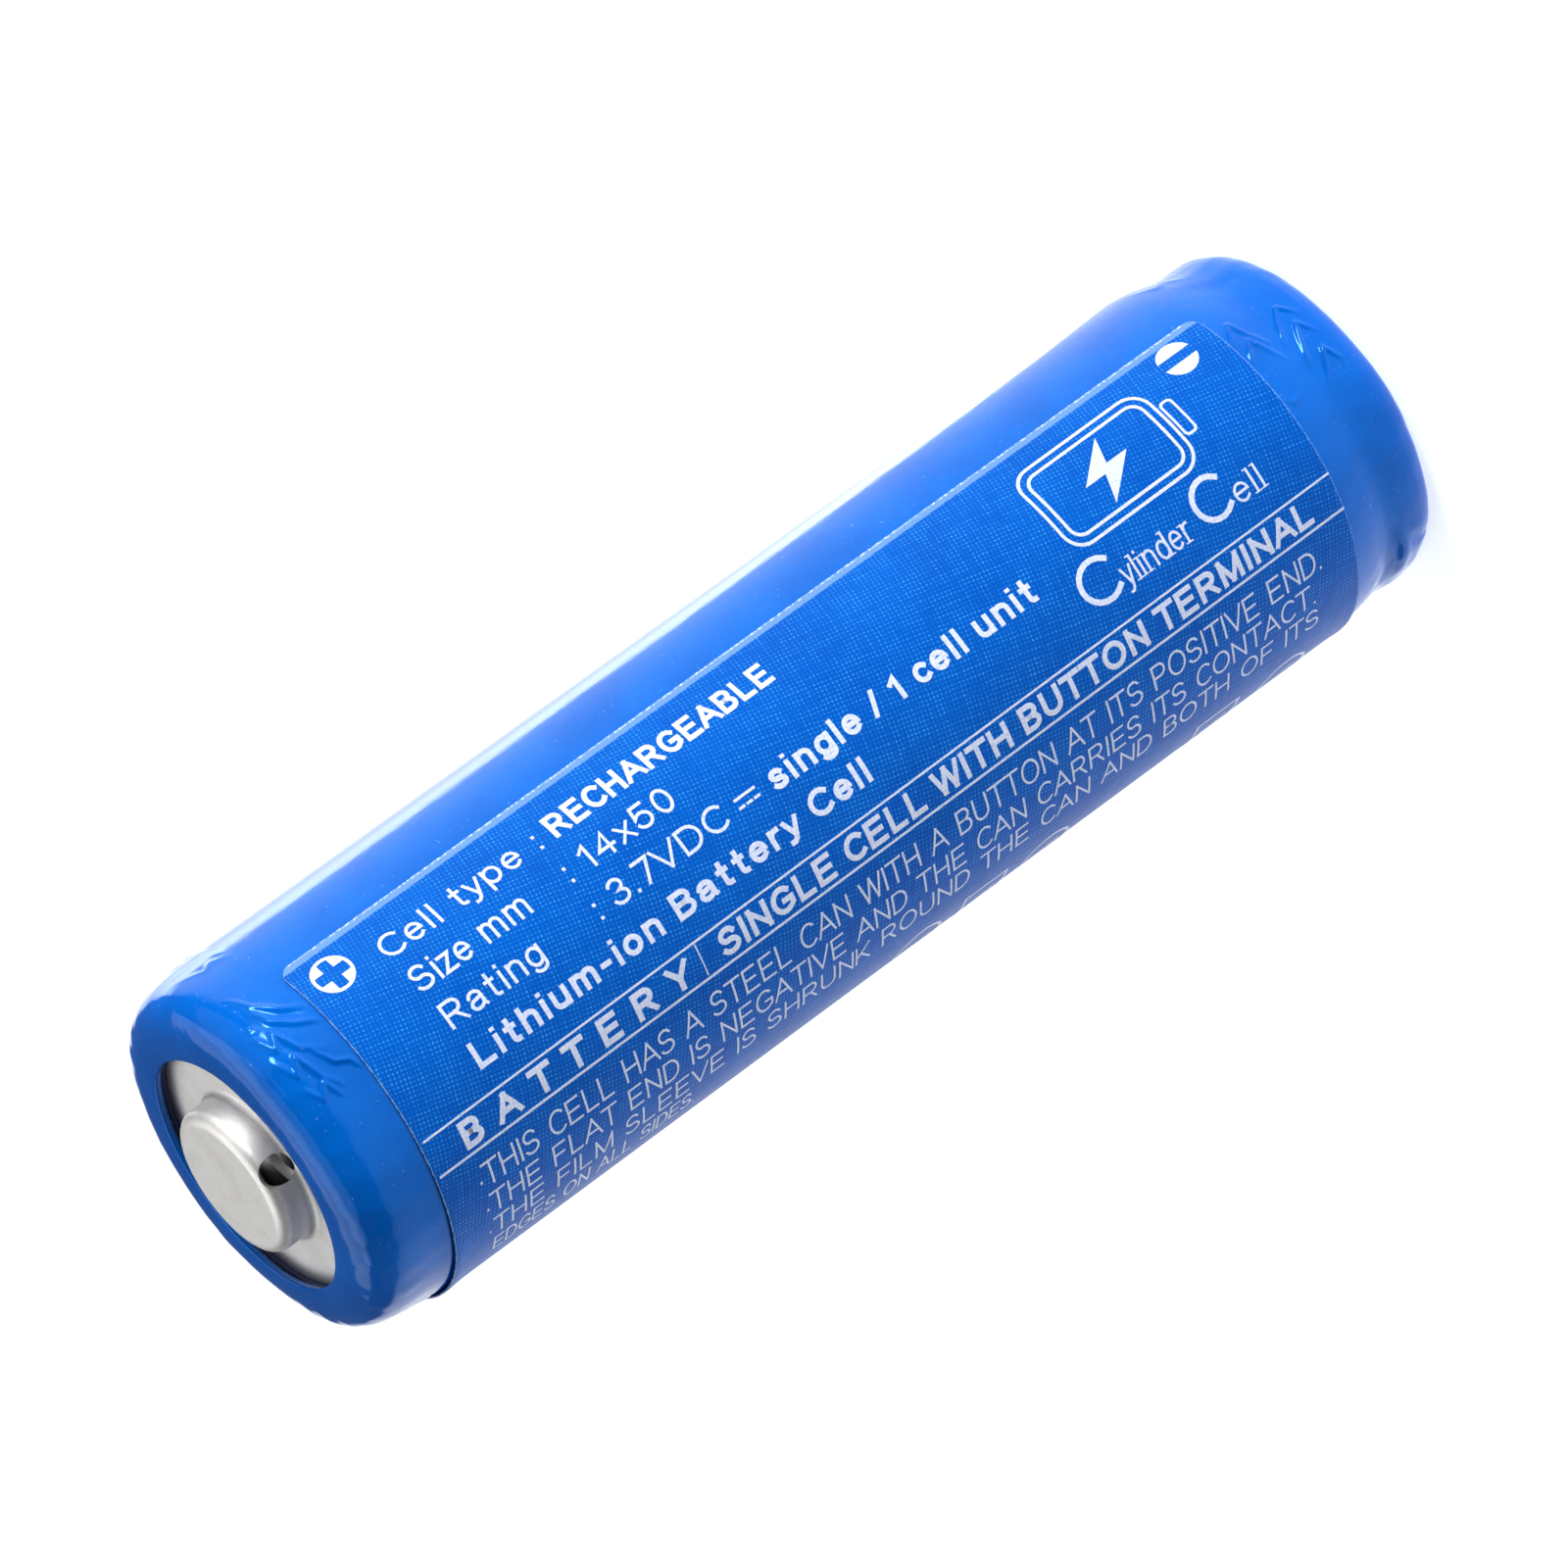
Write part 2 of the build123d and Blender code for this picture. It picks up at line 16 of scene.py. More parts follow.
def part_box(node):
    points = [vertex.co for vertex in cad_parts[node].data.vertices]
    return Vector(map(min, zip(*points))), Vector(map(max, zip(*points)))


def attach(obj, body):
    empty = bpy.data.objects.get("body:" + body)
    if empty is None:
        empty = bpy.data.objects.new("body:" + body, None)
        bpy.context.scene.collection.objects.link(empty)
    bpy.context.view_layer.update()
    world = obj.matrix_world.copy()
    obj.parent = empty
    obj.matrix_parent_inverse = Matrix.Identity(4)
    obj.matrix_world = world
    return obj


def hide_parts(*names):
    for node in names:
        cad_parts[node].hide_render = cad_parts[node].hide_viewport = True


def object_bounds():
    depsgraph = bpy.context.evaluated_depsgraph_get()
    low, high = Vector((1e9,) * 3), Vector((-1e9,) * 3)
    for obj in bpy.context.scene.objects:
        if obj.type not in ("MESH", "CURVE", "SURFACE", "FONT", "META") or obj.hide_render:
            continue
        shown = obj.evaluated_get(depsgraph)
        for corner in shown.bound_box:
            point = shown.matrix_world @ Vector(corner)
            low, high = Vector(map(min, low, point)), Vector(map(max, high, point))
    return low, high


MM = 0.001
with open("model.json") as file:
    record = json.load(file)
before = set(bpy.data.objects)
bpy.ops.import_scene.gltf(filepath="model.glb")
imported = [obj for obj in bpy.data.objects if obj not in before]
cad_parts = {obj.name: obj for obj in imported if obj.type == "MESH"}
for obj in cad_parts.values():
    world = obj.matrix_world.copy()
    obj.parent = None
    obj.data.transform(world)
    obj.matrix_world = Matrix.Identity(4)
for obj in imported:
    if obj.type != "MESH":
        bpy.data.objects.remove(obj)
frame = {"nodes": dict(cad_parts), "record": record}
cad_low, cad_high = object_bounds()


# ---------------------------------------------------------------- sizes taken from the frame


def in_mm(node):
    low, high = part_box(node)
    return low / MM, high / MM


sleeve_low, sleeve_high = in_mm("shrink_sleeve")
label_low, label_high = in_mm("printed_label")
cap_low, cap_high = in_mm("terminal_cap")
LIP_Z = sleeve_high.z
SLEEVE_R = (sleeve_high.y - sleeve_low.y) / 2
LABEL_R = label_high.y
MID_Z = 25
FILM = 0.10
FILM_AND_FIT = 0.12
CAN_R = SLEEVE_R - FILM_AND_FIT
CAN_CORNER_R = 0.95
CAN_CORNER_TOP_Z = 1.05
FOOT_STEP = 0.305
FOOT_Z = (2.9, 4.0)
BUTTON_R = 2.84
BUTTON_SHEET = 0.30
WEAVE = 0.158
WEAVE_TURN = -14


def smooth_step(x, low, high):
    t = np.clip((x - low) / (high - low), 0, 1)
    return t * t * (3 - 2 * t)


def angle_of(v, r=None):
    """Polar angle, in radians, of the place at arc length v."""
    return math.radians(270) - np.asarray(v, float) / (r or LABEL_R)


# ---------------------------------------------------------------- camera


def make_camera():
    camera = bpy.data.objects.new("camera", bpy.data.cameras.new("camera"))
    bpy.context.scene.collection.objects.link(camera)
    bpy.context.scene.camera = camera
    camera.data.sensor_width = 36.0
    camera.data.lens = 239.8
    camera.data.clip_start, camera.data.clip_end = 0.01, 100
    elevation, distance, roll = math.radians(23.33), 0.361, math.radians(-126.0)
    back = Vector((-0.0005, -math.cos(elevation), math.sin(elevation))).normalized()
    level = Vector((1, 0, 0))
    level = (level - level.dot(back) * back).normalized()
    upright = back.cross(level)
    right = math.cos(roll) * level + math.sin(roll) * upright
    up = back.cross(right)
    centre = Vector((0, 0, (cad_low.z + cad_high.z) / 2 - 0.0001))
    turned = Matrix((right, up, back)).transposed().to_4x4()
    camera.matrix_world = Matrix.Translation(centre + back * distance) @ turned


# ---------------------------------------------------------------- material building


def new_material(name):
    material = bpy.data.materials.new(name)
    material.use_nodes = True
    tree = material.node_tree
    tree.nodes.clear()
    out = tree.nodes.new("ShaderNodeOutputMaterial")
    shader = tree.nodes.new("ShaderNodeBsdfPrincipled")
    tree.links.new(shader.outputs[0], out.inputs[0])
    return material, tree, shader


def node(tree, kind, inputs=(), **settings):
    made = tree.nodes.new(kind)
    for key, value in settings.items():
        setattr(made, key, value)
    for key, value in dict(inputs).items():
        if isinstance(value, bpy.types.NodeSocket):
            tree.links.new(value, made.inputs[key])
        else:
            made.inputs[key].default_value = value
    return made


def math_node(tree, operation, a, b=0.0, c=0.0, clamp=False):
    return node(tree, "ShaderNodeMath", {0: a, 1: b, 2: c}, operation=operation, use_clamp=clamp).outputs[0]


def mix_colour(tree, factor, a, b, blend="MIX"):
    made = tree.nodes.new("ShaderNodeMix")
    made.data_type, made.blend_type = "RGBA", blend
    for index, value in ((0, factor), (6, a), (7, b)):
        if isinstance(value, bpy.types.NodeSocket):
            tree.links.new(value, made.inputs[index])
        else:
            made.inputs[index].default_value = value if index == 0 else (*value, 1)
    return made.outputs[2]


def ramp(tree, value, low, high, to_low=0.0, to_high=1.0):
    inputs = {0: value, 1: low, 2: high, 3: to_low, 4: to_high}
    return node(tree, "ShaderNodeMapRange", inputs, interpolation_type="SMOOTHSTEP").outputs[0]


def noise(tree, place, scale, detail=3.0, roughness=0.5, distortion=0.0):
    inputs = {"Vector": place, "Scale": scale, "Detail": detail, "Roughness": roughness, "Distortion": distortion}
    return node(tree, "ShaderNodeTexNoise", inputs).outputs[0]


def object_place(tree, stretch=(1, 1, 1)):
    """Coordinates in the row frame, in millimetres, stretched."""
    place = tree.nodes.new("ShaderNodeTexCoord").outputs["Object"]
    inputs = {"Vector": place, "Scale": tuple(x / MM for x in stretch)}
    return node(tree, "ShaderNodeMapping", inputs).outputs[0]


def bump(tree, shader, height, depth_mm, strength=1.0, under=None):
    inputs = {"Height": height, "Distance": depth_mm * MM, "Strength": strength}
    if under is not None:
        inputs["Normal"] = under
    made = node(tree, "ShaderNodeBump", inputs).outputs[0]
    tree.links.new(made, shader.inputs["Normal"])
    return made


def set_inputs(tree, shader, **values):
    for key, value in values.items():
        socket = shader.inputs[key.replace("_", " ")]
        if isinstance(value, bpy.types.NodeSocket):
            tree.links.new(value, socket)
        else:
            socket.default_value = (*value, 1) if isinstance(value, tuple) and len(value) == 3 else value


def sleeve_film():
    """Glossy blue film: faint mottling, ripples left by the shrinking, and tiny pale speckles painted into the colour
    as glints.
    """
    material, tree, shader = new_material("sleeve_film")
    place = object_place(tree)
    broad = noise(tree, place, 0.35, 2, 0.5)
    fine = noise(tree, place, 2.2, 4, 0.6)
    colour = mix_colour(tree, ramp(tree, broad, 0.35, 0.65), (0.0, 0.110, 0.535), (0.0, 0.130, 0.605))
    colour = mix_colour(tree, ramp(tree, fine, 0.60, 0.85, 0, 0.16), colour, (0.01, 0.18, 0.62))
    # Painted highlight: tiny pale specks in the colour stand in for glints off fine wrinkles.
    glint_specks = noise(tree, place, 9.0, 1, 0.4)
    colour = mix_colour(tree, ramp(tree, glint_specks, 0.74, 0.80, 0, 0.5), colour, (0.25, 0.42, 0.85))
    rough = ramp(tree, fine, 0.3, 0.75, 0.07, 0.15)
    set_inputs(tree, shader, Base_Color=colour, Roughness=rough, IOR=1.5, Specular_Tint=(0.22, 0.55, 1.0))
    shader.inputs["Specular IOR Level"].default_value = 0.48
    first = bump(tree, shader, noise(tree, object_place(tree, (1, 1, 0.45)), 1.1, 2, 0.5), 0.012)
    bump(tree, shader, noise(tree, place, 6.5, 3, 0.55), 0.0022, 1.0, first)
    return material


def linen(tree, place, pitch, turn):
    """Height of a plain weave, from 0 to 1, on flat coordinates in millimetres; its threads differ a little."""
    inputs = {"Vector": place, "Rotation": (0, 0, math.radians(turn)), "Scale": (1 / pitch,) * 3}
    turned = node(tree, "ShaderNodeMapping", inputs).outputs[0]
    wobble = node(tree, "ShaderNodeTexNoise", {"Vector": turned, "Scale": 0.30, "Detail": 3.0}).outputs[1]
    shift = node(tree, "ShaderNodeVectorMath", {0: wobble, 1: (0.5, 0.5, 0.5)}, operation="SUBTRACT").outputs[0]
    shift = node(tree, "ShaderNodeVectorMath", {0: shift, 3: 0.7}, operation="SCALE").outputs[0]
    turned = node(tree, "ShaderNodeVectorMath", {0: turned, 1: shift}, operation="ADD").outputs[0]
    parts = node(tree, "ShaderNodeSeparateXYZ", {0: turned})
    threads = []
    for k, stretch in ((0, (0.9, 0.10, 1)), (1, (0.10, 0.9, 1))):
        wave = math_node(tree, "SINE", math_node(tree, "MULTIPLY", parts.outputs[k], 2 * math.pi))
        drawn_out = node(tree, "ShaderNodeMapping", {"Vector": turned, "Scale": stretch}).outputs[0]
        uneven = ramp(tree, noise(tree, drawn_out, 1.0, 1, 0.5), 0.3, 0.65, 0.55, 1.0)
        threads.append(math_node(tree, "MULTIPLY", math_node(tree, "MULTIPLY_ADD", wave, 0.5, 0.5), uneven))
    return math_node(tree, "MULTIPLY", *threads), turned


def label_places(tree):
    """The label's flat coordinates in millimetres: x along s, y along v."""
    uv = node(tree, "ShaderNodeUVMap", uv_map="label_mm").outputs[0]
    return node(tree, "ShaderNodeVectorMath", {0: uv, 3: 50.0}, operation="SCALE").outputs[0]


def label_film():
    """Printed blue label under a linen-embossed laminate, with a paler margin where the laminate passes the print."""
    material, tree, shader = new_material("label_film")
    flat = label_places(tree)
    height, turned = linen(tree, flat, WEAVE, WEAVE_TURN)
    border = node(tree, "ShaderNodeAttribute", attribute_name="border_mm").outputs[2]
    patchy = noise(tree, flat, 0.30, 3, 0.55)
    fine = noise(tree, turned, 0.9, 2, 0.6)
    ground = mix_colour(tree, ramp(tree, patchy, 0.3, 0.7), (0.0, 0.098, 0.520), (0.0, 0.120, 0.590))
    # Painted highlight: the raised threads of the weave are painted paler, as sheen.
    thread_sheen = math_node(tree, "MULTIPLY", ramp(tree, height, 0.20, 0.80), ramp(tree, fine, 0.25, 0.70, 0.35, 1.0))
    ground = mix_colour(tree, math_node(tree, "MULTIPLY", thread_sheen, 0.60), ground, (0.06, 0.46, 0.95))
    # Painted shade: the pits of the weave are painted darker.
    pit_shade = math_node(tree, "MULTIPLY", ramp(tree, height, 0.01, 0.14, 1.0, 0.0), 0.50)
    ground = mix_colour(tree, pit_shade, ground, (0.0, 0.062, 0.38))
    ragged = math_node(tree, "MULTIPLY_ADD", fine, 0.08, border)
    margin = ramp(tree, ragged, 0.34, 0.39, 1.0, 0.0)
    ground = mix_colour(tree, math_node(tree, "MULTIPLY", margin, 0.72), ground, (0.185, 0.36, 0.66))
    glints = noise(tree, flat, 5.5, 2, 0.7)
    rim = math_node(tree, "MULTIPLY", ramp(tree, border, 0.06, 0.11, 1.0, 0.0), ramp(tree, glints, 0.45, 0.60))
    ground = mix_colour(tree, math_node(tree, "MULTIPLY", rim, 0.8), ground, (0.70, 0.82, 0.98))
    rough = ramp(tree, height, 0.0, 1.0, 0.40, 0.28)
    set_inputs(tree, shader, Base_Color=ground, Roughness=rough, IOR=1.46, Specular_Tint=(0.15, 0.45, 1.0))
    shader.inputs["Specular IOR Level"].default_value = 0.22
    first = bump(tree, shader, height, 0.012, 0.6)
    bump(tree, shader, noise(tree, flat, 1.6, 3, 0.5), 0.004, 1.0, first)
    return material


def print_ink():
    """White ink under the same linen laminate, a little uneven."""
    material, tree, shader = new_material("print_ink")
    flat = label_places(tree)
    height, turned = linen(tree, flat, WEAVE, WEAVE_TURN)
    patchy = noise(tree, flat, 5.0, 3, 0.6)
    colour = mix_colour(tree, ramp(tree, patchy, 0.35, 0.75), (0.80, 0.84, 0.96), (0.62, 0.69, 0.92))
    # Painted shade: the ink is painted darker and bluer in the pits of the weave.
    colour = mix_colour(tree, ramp(tree, height, 0.02, 0.25, 0.30, 0.0), colour, (0.36, 0.50, 0.86))
    rough = ramp(tree, height, 0.0, 1.0, 0.45, 0.33)
    set_inputs(tree, shader, Base_Color=colour, Roughness=rough, IOR=1.46)
    shader.inputs["Specular IOR Level"].default_value = 0.34
    bump(tree, shader, height, 0.012, 0.5)
    return material


def metal(name, colour, rough, grain=(1, 1, 1), grain_scale=3.0, stain=(0.8, 0.75, 0.66), shaded_hollow=None):
    """Plated or bare metal: fine grain, faint staining and hairline scratches.

    Inside the radius and below the height given in the last argument, the metal is painted near black: painted shade
    for the dark inside of the button, seen through its vents."""
    material, tree, shader = new_material(name)
    place = object_place(tree)
    grained = noise(tree, object_place(tree, grain), grain_scale, 5, 0.65)
    clouds = noise(tree, place, 0.9, 3, 0.55)
    dark = tuple(x * y for x, y in zip(colour, stain))
    tone = mix_colour(tree, ramp(tree, clouds, 0.42, 0.72, 0.0, 0.35), colour, dark)
    tone = mix_colour(tree, ramp(tree, grained, 0.35, 0.65, 0.0, 0.12), tone, tuple(0.6 * x for x in colour))
    lines = noise(tree, object_place(tree, (grain[1] * 0.35, grain[0] * 7, grain[2])), 2.3, 2, 0.5, 0.3)
    hair = ramp(tree, lines, 0.66, 0.72)
    # Painted shade: inside the button the metal is painted near black.
    if shaded_hollow:
        radius, top = shaded_hollow
        level = node(tree, "ShaderNodeMapping", {"Vector": place, "Scale": (1, 1, 0)}).outputs[0]
        reach = node(tree, "ShaderNodeVectorMath", {0: level}, operation="LENGTH").outputs[1]
        height = node(tree, "ShaderNodeSeparateXYZ", {0: place}).outputs[2]
        within = ramp(tree, reach, radius - 0.06, radius, 1, 0)
        below = ramp(tree, height, top - 0.05, top, 1, 0)
        tone = mix_colour(tree, math_node(tree, "MULTIPLY", within, below), tone, (0.035, 0.028, 0.022))
    roughness = math_node(tree, "MULTIPLY_ADD", grained, 0.16, rough - 0.08)
    roughness = math_node(tree, "MULTIPLY_ADD", hair, -0.03, roughness)
    set_inputs(tree, shader, Base_Color=tone, Roughness=roughness, Metallic=1.0)
    first = bump(tree, shader, grained, 0.0016)
    bump(tree, shader, hair, 0.0014, 0.5, first)
    return material


def plastic(name, colour, rough, speck=(1, 1, 1), scale=2.5, depth=0.004, contrast=0.25):
    """Moulded, coated or rolled non-metal: mottled colour and a fine surface grain."""
    material, tree, shader = new_material(name)
    grained = noise(tree, object_place(tree, speck), scale, 4, 0.6)
    clouds = noise(tree, object_place(tree), 0.5, 2, 0.5)
    dark = tuple(x * (1 - contrast) for x in colour)
    tone = mix_colour(tree, ramp(tree, clouds, 0.35, 0.65), colour, dark)
    light = tuple(min(1, x * 1.5 + 0.02) for x in colour)
    tone = mix_colour(tree, ramp(tree, grained, 0.5, 0.8, 0, contrast), tone, light)
    roughness = math_node(tree, "MULTIPLY_ADD", grained, 0.2, rough - 0.1)
    set_inputs(tree, shader, Base_Color=tone, Roughness=roughness)
    bump(tree, shader, grained, depth)
    return material


# ---------------------------------------------------------------- mesh building


def grid_mesh(name, points, close_across=False, close_along=False, uv=None):
    """A mesh of quads from a rows x columns x 3 array in millimetres."""
    rows, columns = points.shape[:2]
    index = np.arange(rows * columns).reshape(rows, columns)
    if close_along:
        index = np.vstack([index, index[:1]])
    if close_across:
        index = np.hstack([index, index[:, :1]])
    faces = np.stack([index[:-1, :-1], index[:-1, 1:], index[1:, 1:], index[1:, :-1]], -1).reshape(-1, 4)
    mesh = bpy.data.meshes.new(name)
    mesh.vertices.add(rows * columns)
    mesh.vertices.foreach_set("co", (points.reshape(-1, 3) * MM).astype(np.float32).ravel())
    mesh.loops.add(faces.size)
    mesh.loops.foreach_set("vertex_index", faces.ravel().astype(np.int32))
    mesh.polygons.add(len(faces))
    mesh.polygons.foreach_set("loop_start", np.arange(0, faces.size, 4, dtype=np.int32))
    mesh.update(calc_edges=True)
    mesh.validate()
    if uv is not None:
        layer = mesh.uv_layers.new(name="label_mm")
        layer.data.foreach_set("uv", (uv.reshape(-1, 2)[faces.ravel()] / 50).astype(np.float32).ravel())
    mesh.shade_smooth()
    made = bpy.data.objects.new(name, mesh)
    bpy.context.scene.collection.objects.link(made)
    return made


def ridge(s, v, line, width, height, soft=1.0):
    """A raised crease along a line of (s, v) places, fading at both ends."""
    best, where = np.full(s.shape, 1e9), np.zeros(s.shape)
    total = sum(math.dist(a, b) for a, b in zip(line, line[1:]))
    run = 0.0
    for (s0, v0), (s1, v1) in zip(line, line[1:]):
        length = math.dist((s0, v0), (s1, v1))
        t = np.clip(((s - s0) * (s1 - s0) + (v - v0) * (v1 - v0)) / length**2, 0, 1)
        gap = np.hypot(s - s0 - t * (s1 - s0), v - v0 - t * (v1 - v0))
        where = np.where(gap < best, (run + t * length) / total, where)
        best = np.minimum(best, gap)
        run += length
    fade = np.sin(np.pi * np.clip(0.08 + 0.84 * where, 0, 1)) ** soft
    return height * np.exp(-((best / width) ** 2)) * fade


# Creases that show from the front, as lines of (s, v) places with a width and a height.
FRONT_CREASES = [
    ([(1.4, -5.9), (1.7, -4.9), (2.3, -4.1), (3.1, -3.5)], 0.13, 0.106),
    ([(1.5, -4.9), (1.75, -3.9), (2.3, -3.3), (3.1, -2.8)], 0.11, 0.109),
    ([(0.9, -3.9), (1.2, -2.9), (1.5, -3.5), (1.8, -2.5), (2.5, -1.9)], 0.10, 0.102),
    ([(0.8, -2.7), (1.15, -1.7), (1.5, -2.3), (1.8, -1.2), (2.2, -0.6)], 0.10, 0.097),
    ([(1.0, -1.2), (1.35, -0.5), (1.7, -1.0), (2.0, -0.2)], 0.09, 0.079),
    ([(2.1, -2.1), (2.45, -1.35), (2.9, -1.1), (3.2, -0.5)], 0.08, 0.106),
    ([(1.0, -4.3), (1.15, -4.1)], 0.09, 0.048),
    ([(44.9, -2.9), (45.3, -3.5), (45.75, -4.2), (46.0, -3.4), (46.35, -2.7)], 0.10, 0.106),
    ([(45.0, -1.9), (45.45, -2.7), (45.8, -3.2), (46.1, -2.5), (46.4, -1.8)], 0.10, 0.097),
    ([(46.8, -2.2), (47.25, -3.2), (47.7, -3.8), (48.2, -3.0)], 0.10, 0.123),
    ([(47.0, -1.1), (47.4, -2.1), (47.75, -2.8), (48.2, -2.0)], 0.10, 0.114),
    ([(47.2, -0.2), (47.6, -0.9), (47.85, -1.4), (48.2, -0.6)], 0.08, 0.106),
    ([(45.2, -0.6), (45.5, -0.3), (45.9, -0.5)], 0.10, 0.062),
    ([(46.1, 6.8), (46.6, 7.5), (46.9, 8.4), (46.8, 9.4)], 0.22, -0.096),
    ([(47.3, 6.6), (47.6, 7.6), (47.7, 8.8), (47.6, 9.8)], 0.30, 0.120),
    ([(48.1, 7.4), (48.5, 8.0), (48.9, 8.2)], 0.16, -0.096),
]


def creases(s, v):
    """Radial height of the creases that the shrinking left at both ends of the sleeve."""
    total = np.zeros(s.shape)
    lines = list(FRONT_CREASES)
    rng = np.random.default_rng(7)
    turn = 2 * math.pi * LABEL_R
    for middle, span in ((1.9, 1.5), (46.6, 1.7)):
        for k in range(12):
            v0 = 11.5 + (turn - 20.0) * (k + rng.uniform(-0.3, 0.3)) / 11
            s0 = middle + rng.uniform(-0.5, 0.5) * span
            lean = rng.uniform(0.5, 1.1) * rng.choice((-1, 1))
            turns = ((-0.7, -0.6), (-0.1, 0.5), (0.3, -0.1), (0.9, 1.0))
            line = [(s0 + ds, v0 + lean * dv) for ds, dv in turns]
            lines.append((line, rng.uniform(0.12, 0.20), rng.uniform(0.025, 0.055)))
    for line, width, height in lines:
        reach = 1.2
        low_s, high_s = min(p[0] for p in line) - reach, max(p[0] for p in line) + reach
        centre = (min(p[1] for p in line) + max(p[1] for p in line)) / 2
        near = (v - centre + turn / 2) % turn - turn / 2 + centre
        rows = (s > low_s) & (s < high_s)
        total[rows] += ridge(s[rows], near[rows], line, width, height)
    return total


def waves(phi, z, seed, amplitude, around, along, count):
    """Soft seeded unevenness over the surface."""
    rng = np.random.default_rng(seed)
    total = np.zeros(phi.shape)
    for _ in range(count):
        total += np.cos(rng.integers(*around) * phi + rng.uniform(-along, along) * z + rng.uniform(0, 6.283))
    return amplitude * total / math.sqrt(count / 2)


def can_radius(z):
    """The steel can's outside under the film: a rounded base, a narrower foot and then the full barrel."""
    foot = CAN_R - FOOT_STEP
    below = np.maximum(CAN_CORNER_TOP_Z - z, 0)
    corner = foot - CAN_CORNER_R + np.sqrt(np.maximum(CAN_CORNER_R**2 - below**2, 0))
    return np.where(z < CAN_CORNER_TOP_Z, corner, np.interp(z, FOOT_Z, [foot, CAN_R]))


def sleeve_outline():
    """The outer skin's (radius, height) from the upper lip to the lower one."""
    # The upper end's heights are counted down from the lip.
    upper = [
        (4.63, 0.20), (4.595, 0.12), (4.585, 0.05), (4.63, 0.008), (4.90, 0), (5.15, 0.005), (5.60, 0.05),
        (6.10, 0.20), (6.50, 0.46), (6.76, 0.90), (6.88, 1.40), (6.925, 1.9), (6.96, 2.5), (7.01, 3.05),
        (SLEEVE_R - 0.008, 3.6), (SLEEVE_R, 4.4),
    ]
    upper = [(r, LIP_Z - depth) for r, depth in upper]
    lower = [
        (SLEEVE_R, 5.2), (SLEEVE_R - 0.004, 4.6), (SLEEVE_R - 0.025, 4.1), (6.955, 3.6), (6.87, 3.15), (6.765, 2.7),
        (6.70, 2.3), (6.685, 1.95), (6.70, 1.6), (6.71, 1.25), (6.68, 0.90), (6.57, 0.56), (6.38, 0.27), (6.10, 0.07),
        (5.80, 0.0), (5.50, 0.0), (5.45, 0.0), (5.40, 0.03),
    ]
    dense = []
    row_gap = 0.055
    for part in (upper, lower):
        points = np.array(part, float)
        steps = np.r_[0, np.cumsum(np.hypot(*np.diff(points, axis=0).T))]
        places = np.linspace(0, steps[-1], int(steps[-1] / row_gap) + 1)
        dense.append(np.stack([catmull(steps, points[:, k], places) for k in (0, 1)], -1))
    top, bottom = dense
    middle = np.stack([np.full(44, SLEEVE_R), np.linspace(top[-1, 1], bottom[0, 1], 46)[1:-1]], -1)
    return np.vstack([top, middle, bottom])


def catmull(x, y, places):
    """Smooth curve through (x, y), without overshoot at its knots."""
    slope = np.diff(y) / np.diff(x)
    before, after = slope[:-1], slope[1:]
    between = np.where(before * after > 0, 2 * before * after / (before + after + 1e-12), 0)
    tangent = np.r_[slope[0], between, slope[-1]]
    k = np.clip(np.searchsorted(x, places) - 1, 0, len(x) - 2)
    h = x[k + 1] - x[k]
    t = (places - x[k]) / h
    return (
        (2 * t**3 - 3 * t**2 + 1) * y[k] + (t**3 - 2 * t**2 + t) * h * tangent[k]
        + (-2 * t**3 + 3 * t**2) * y[k + 1] + (t**3 - t**2) * h * tangent[k + 1]
    )


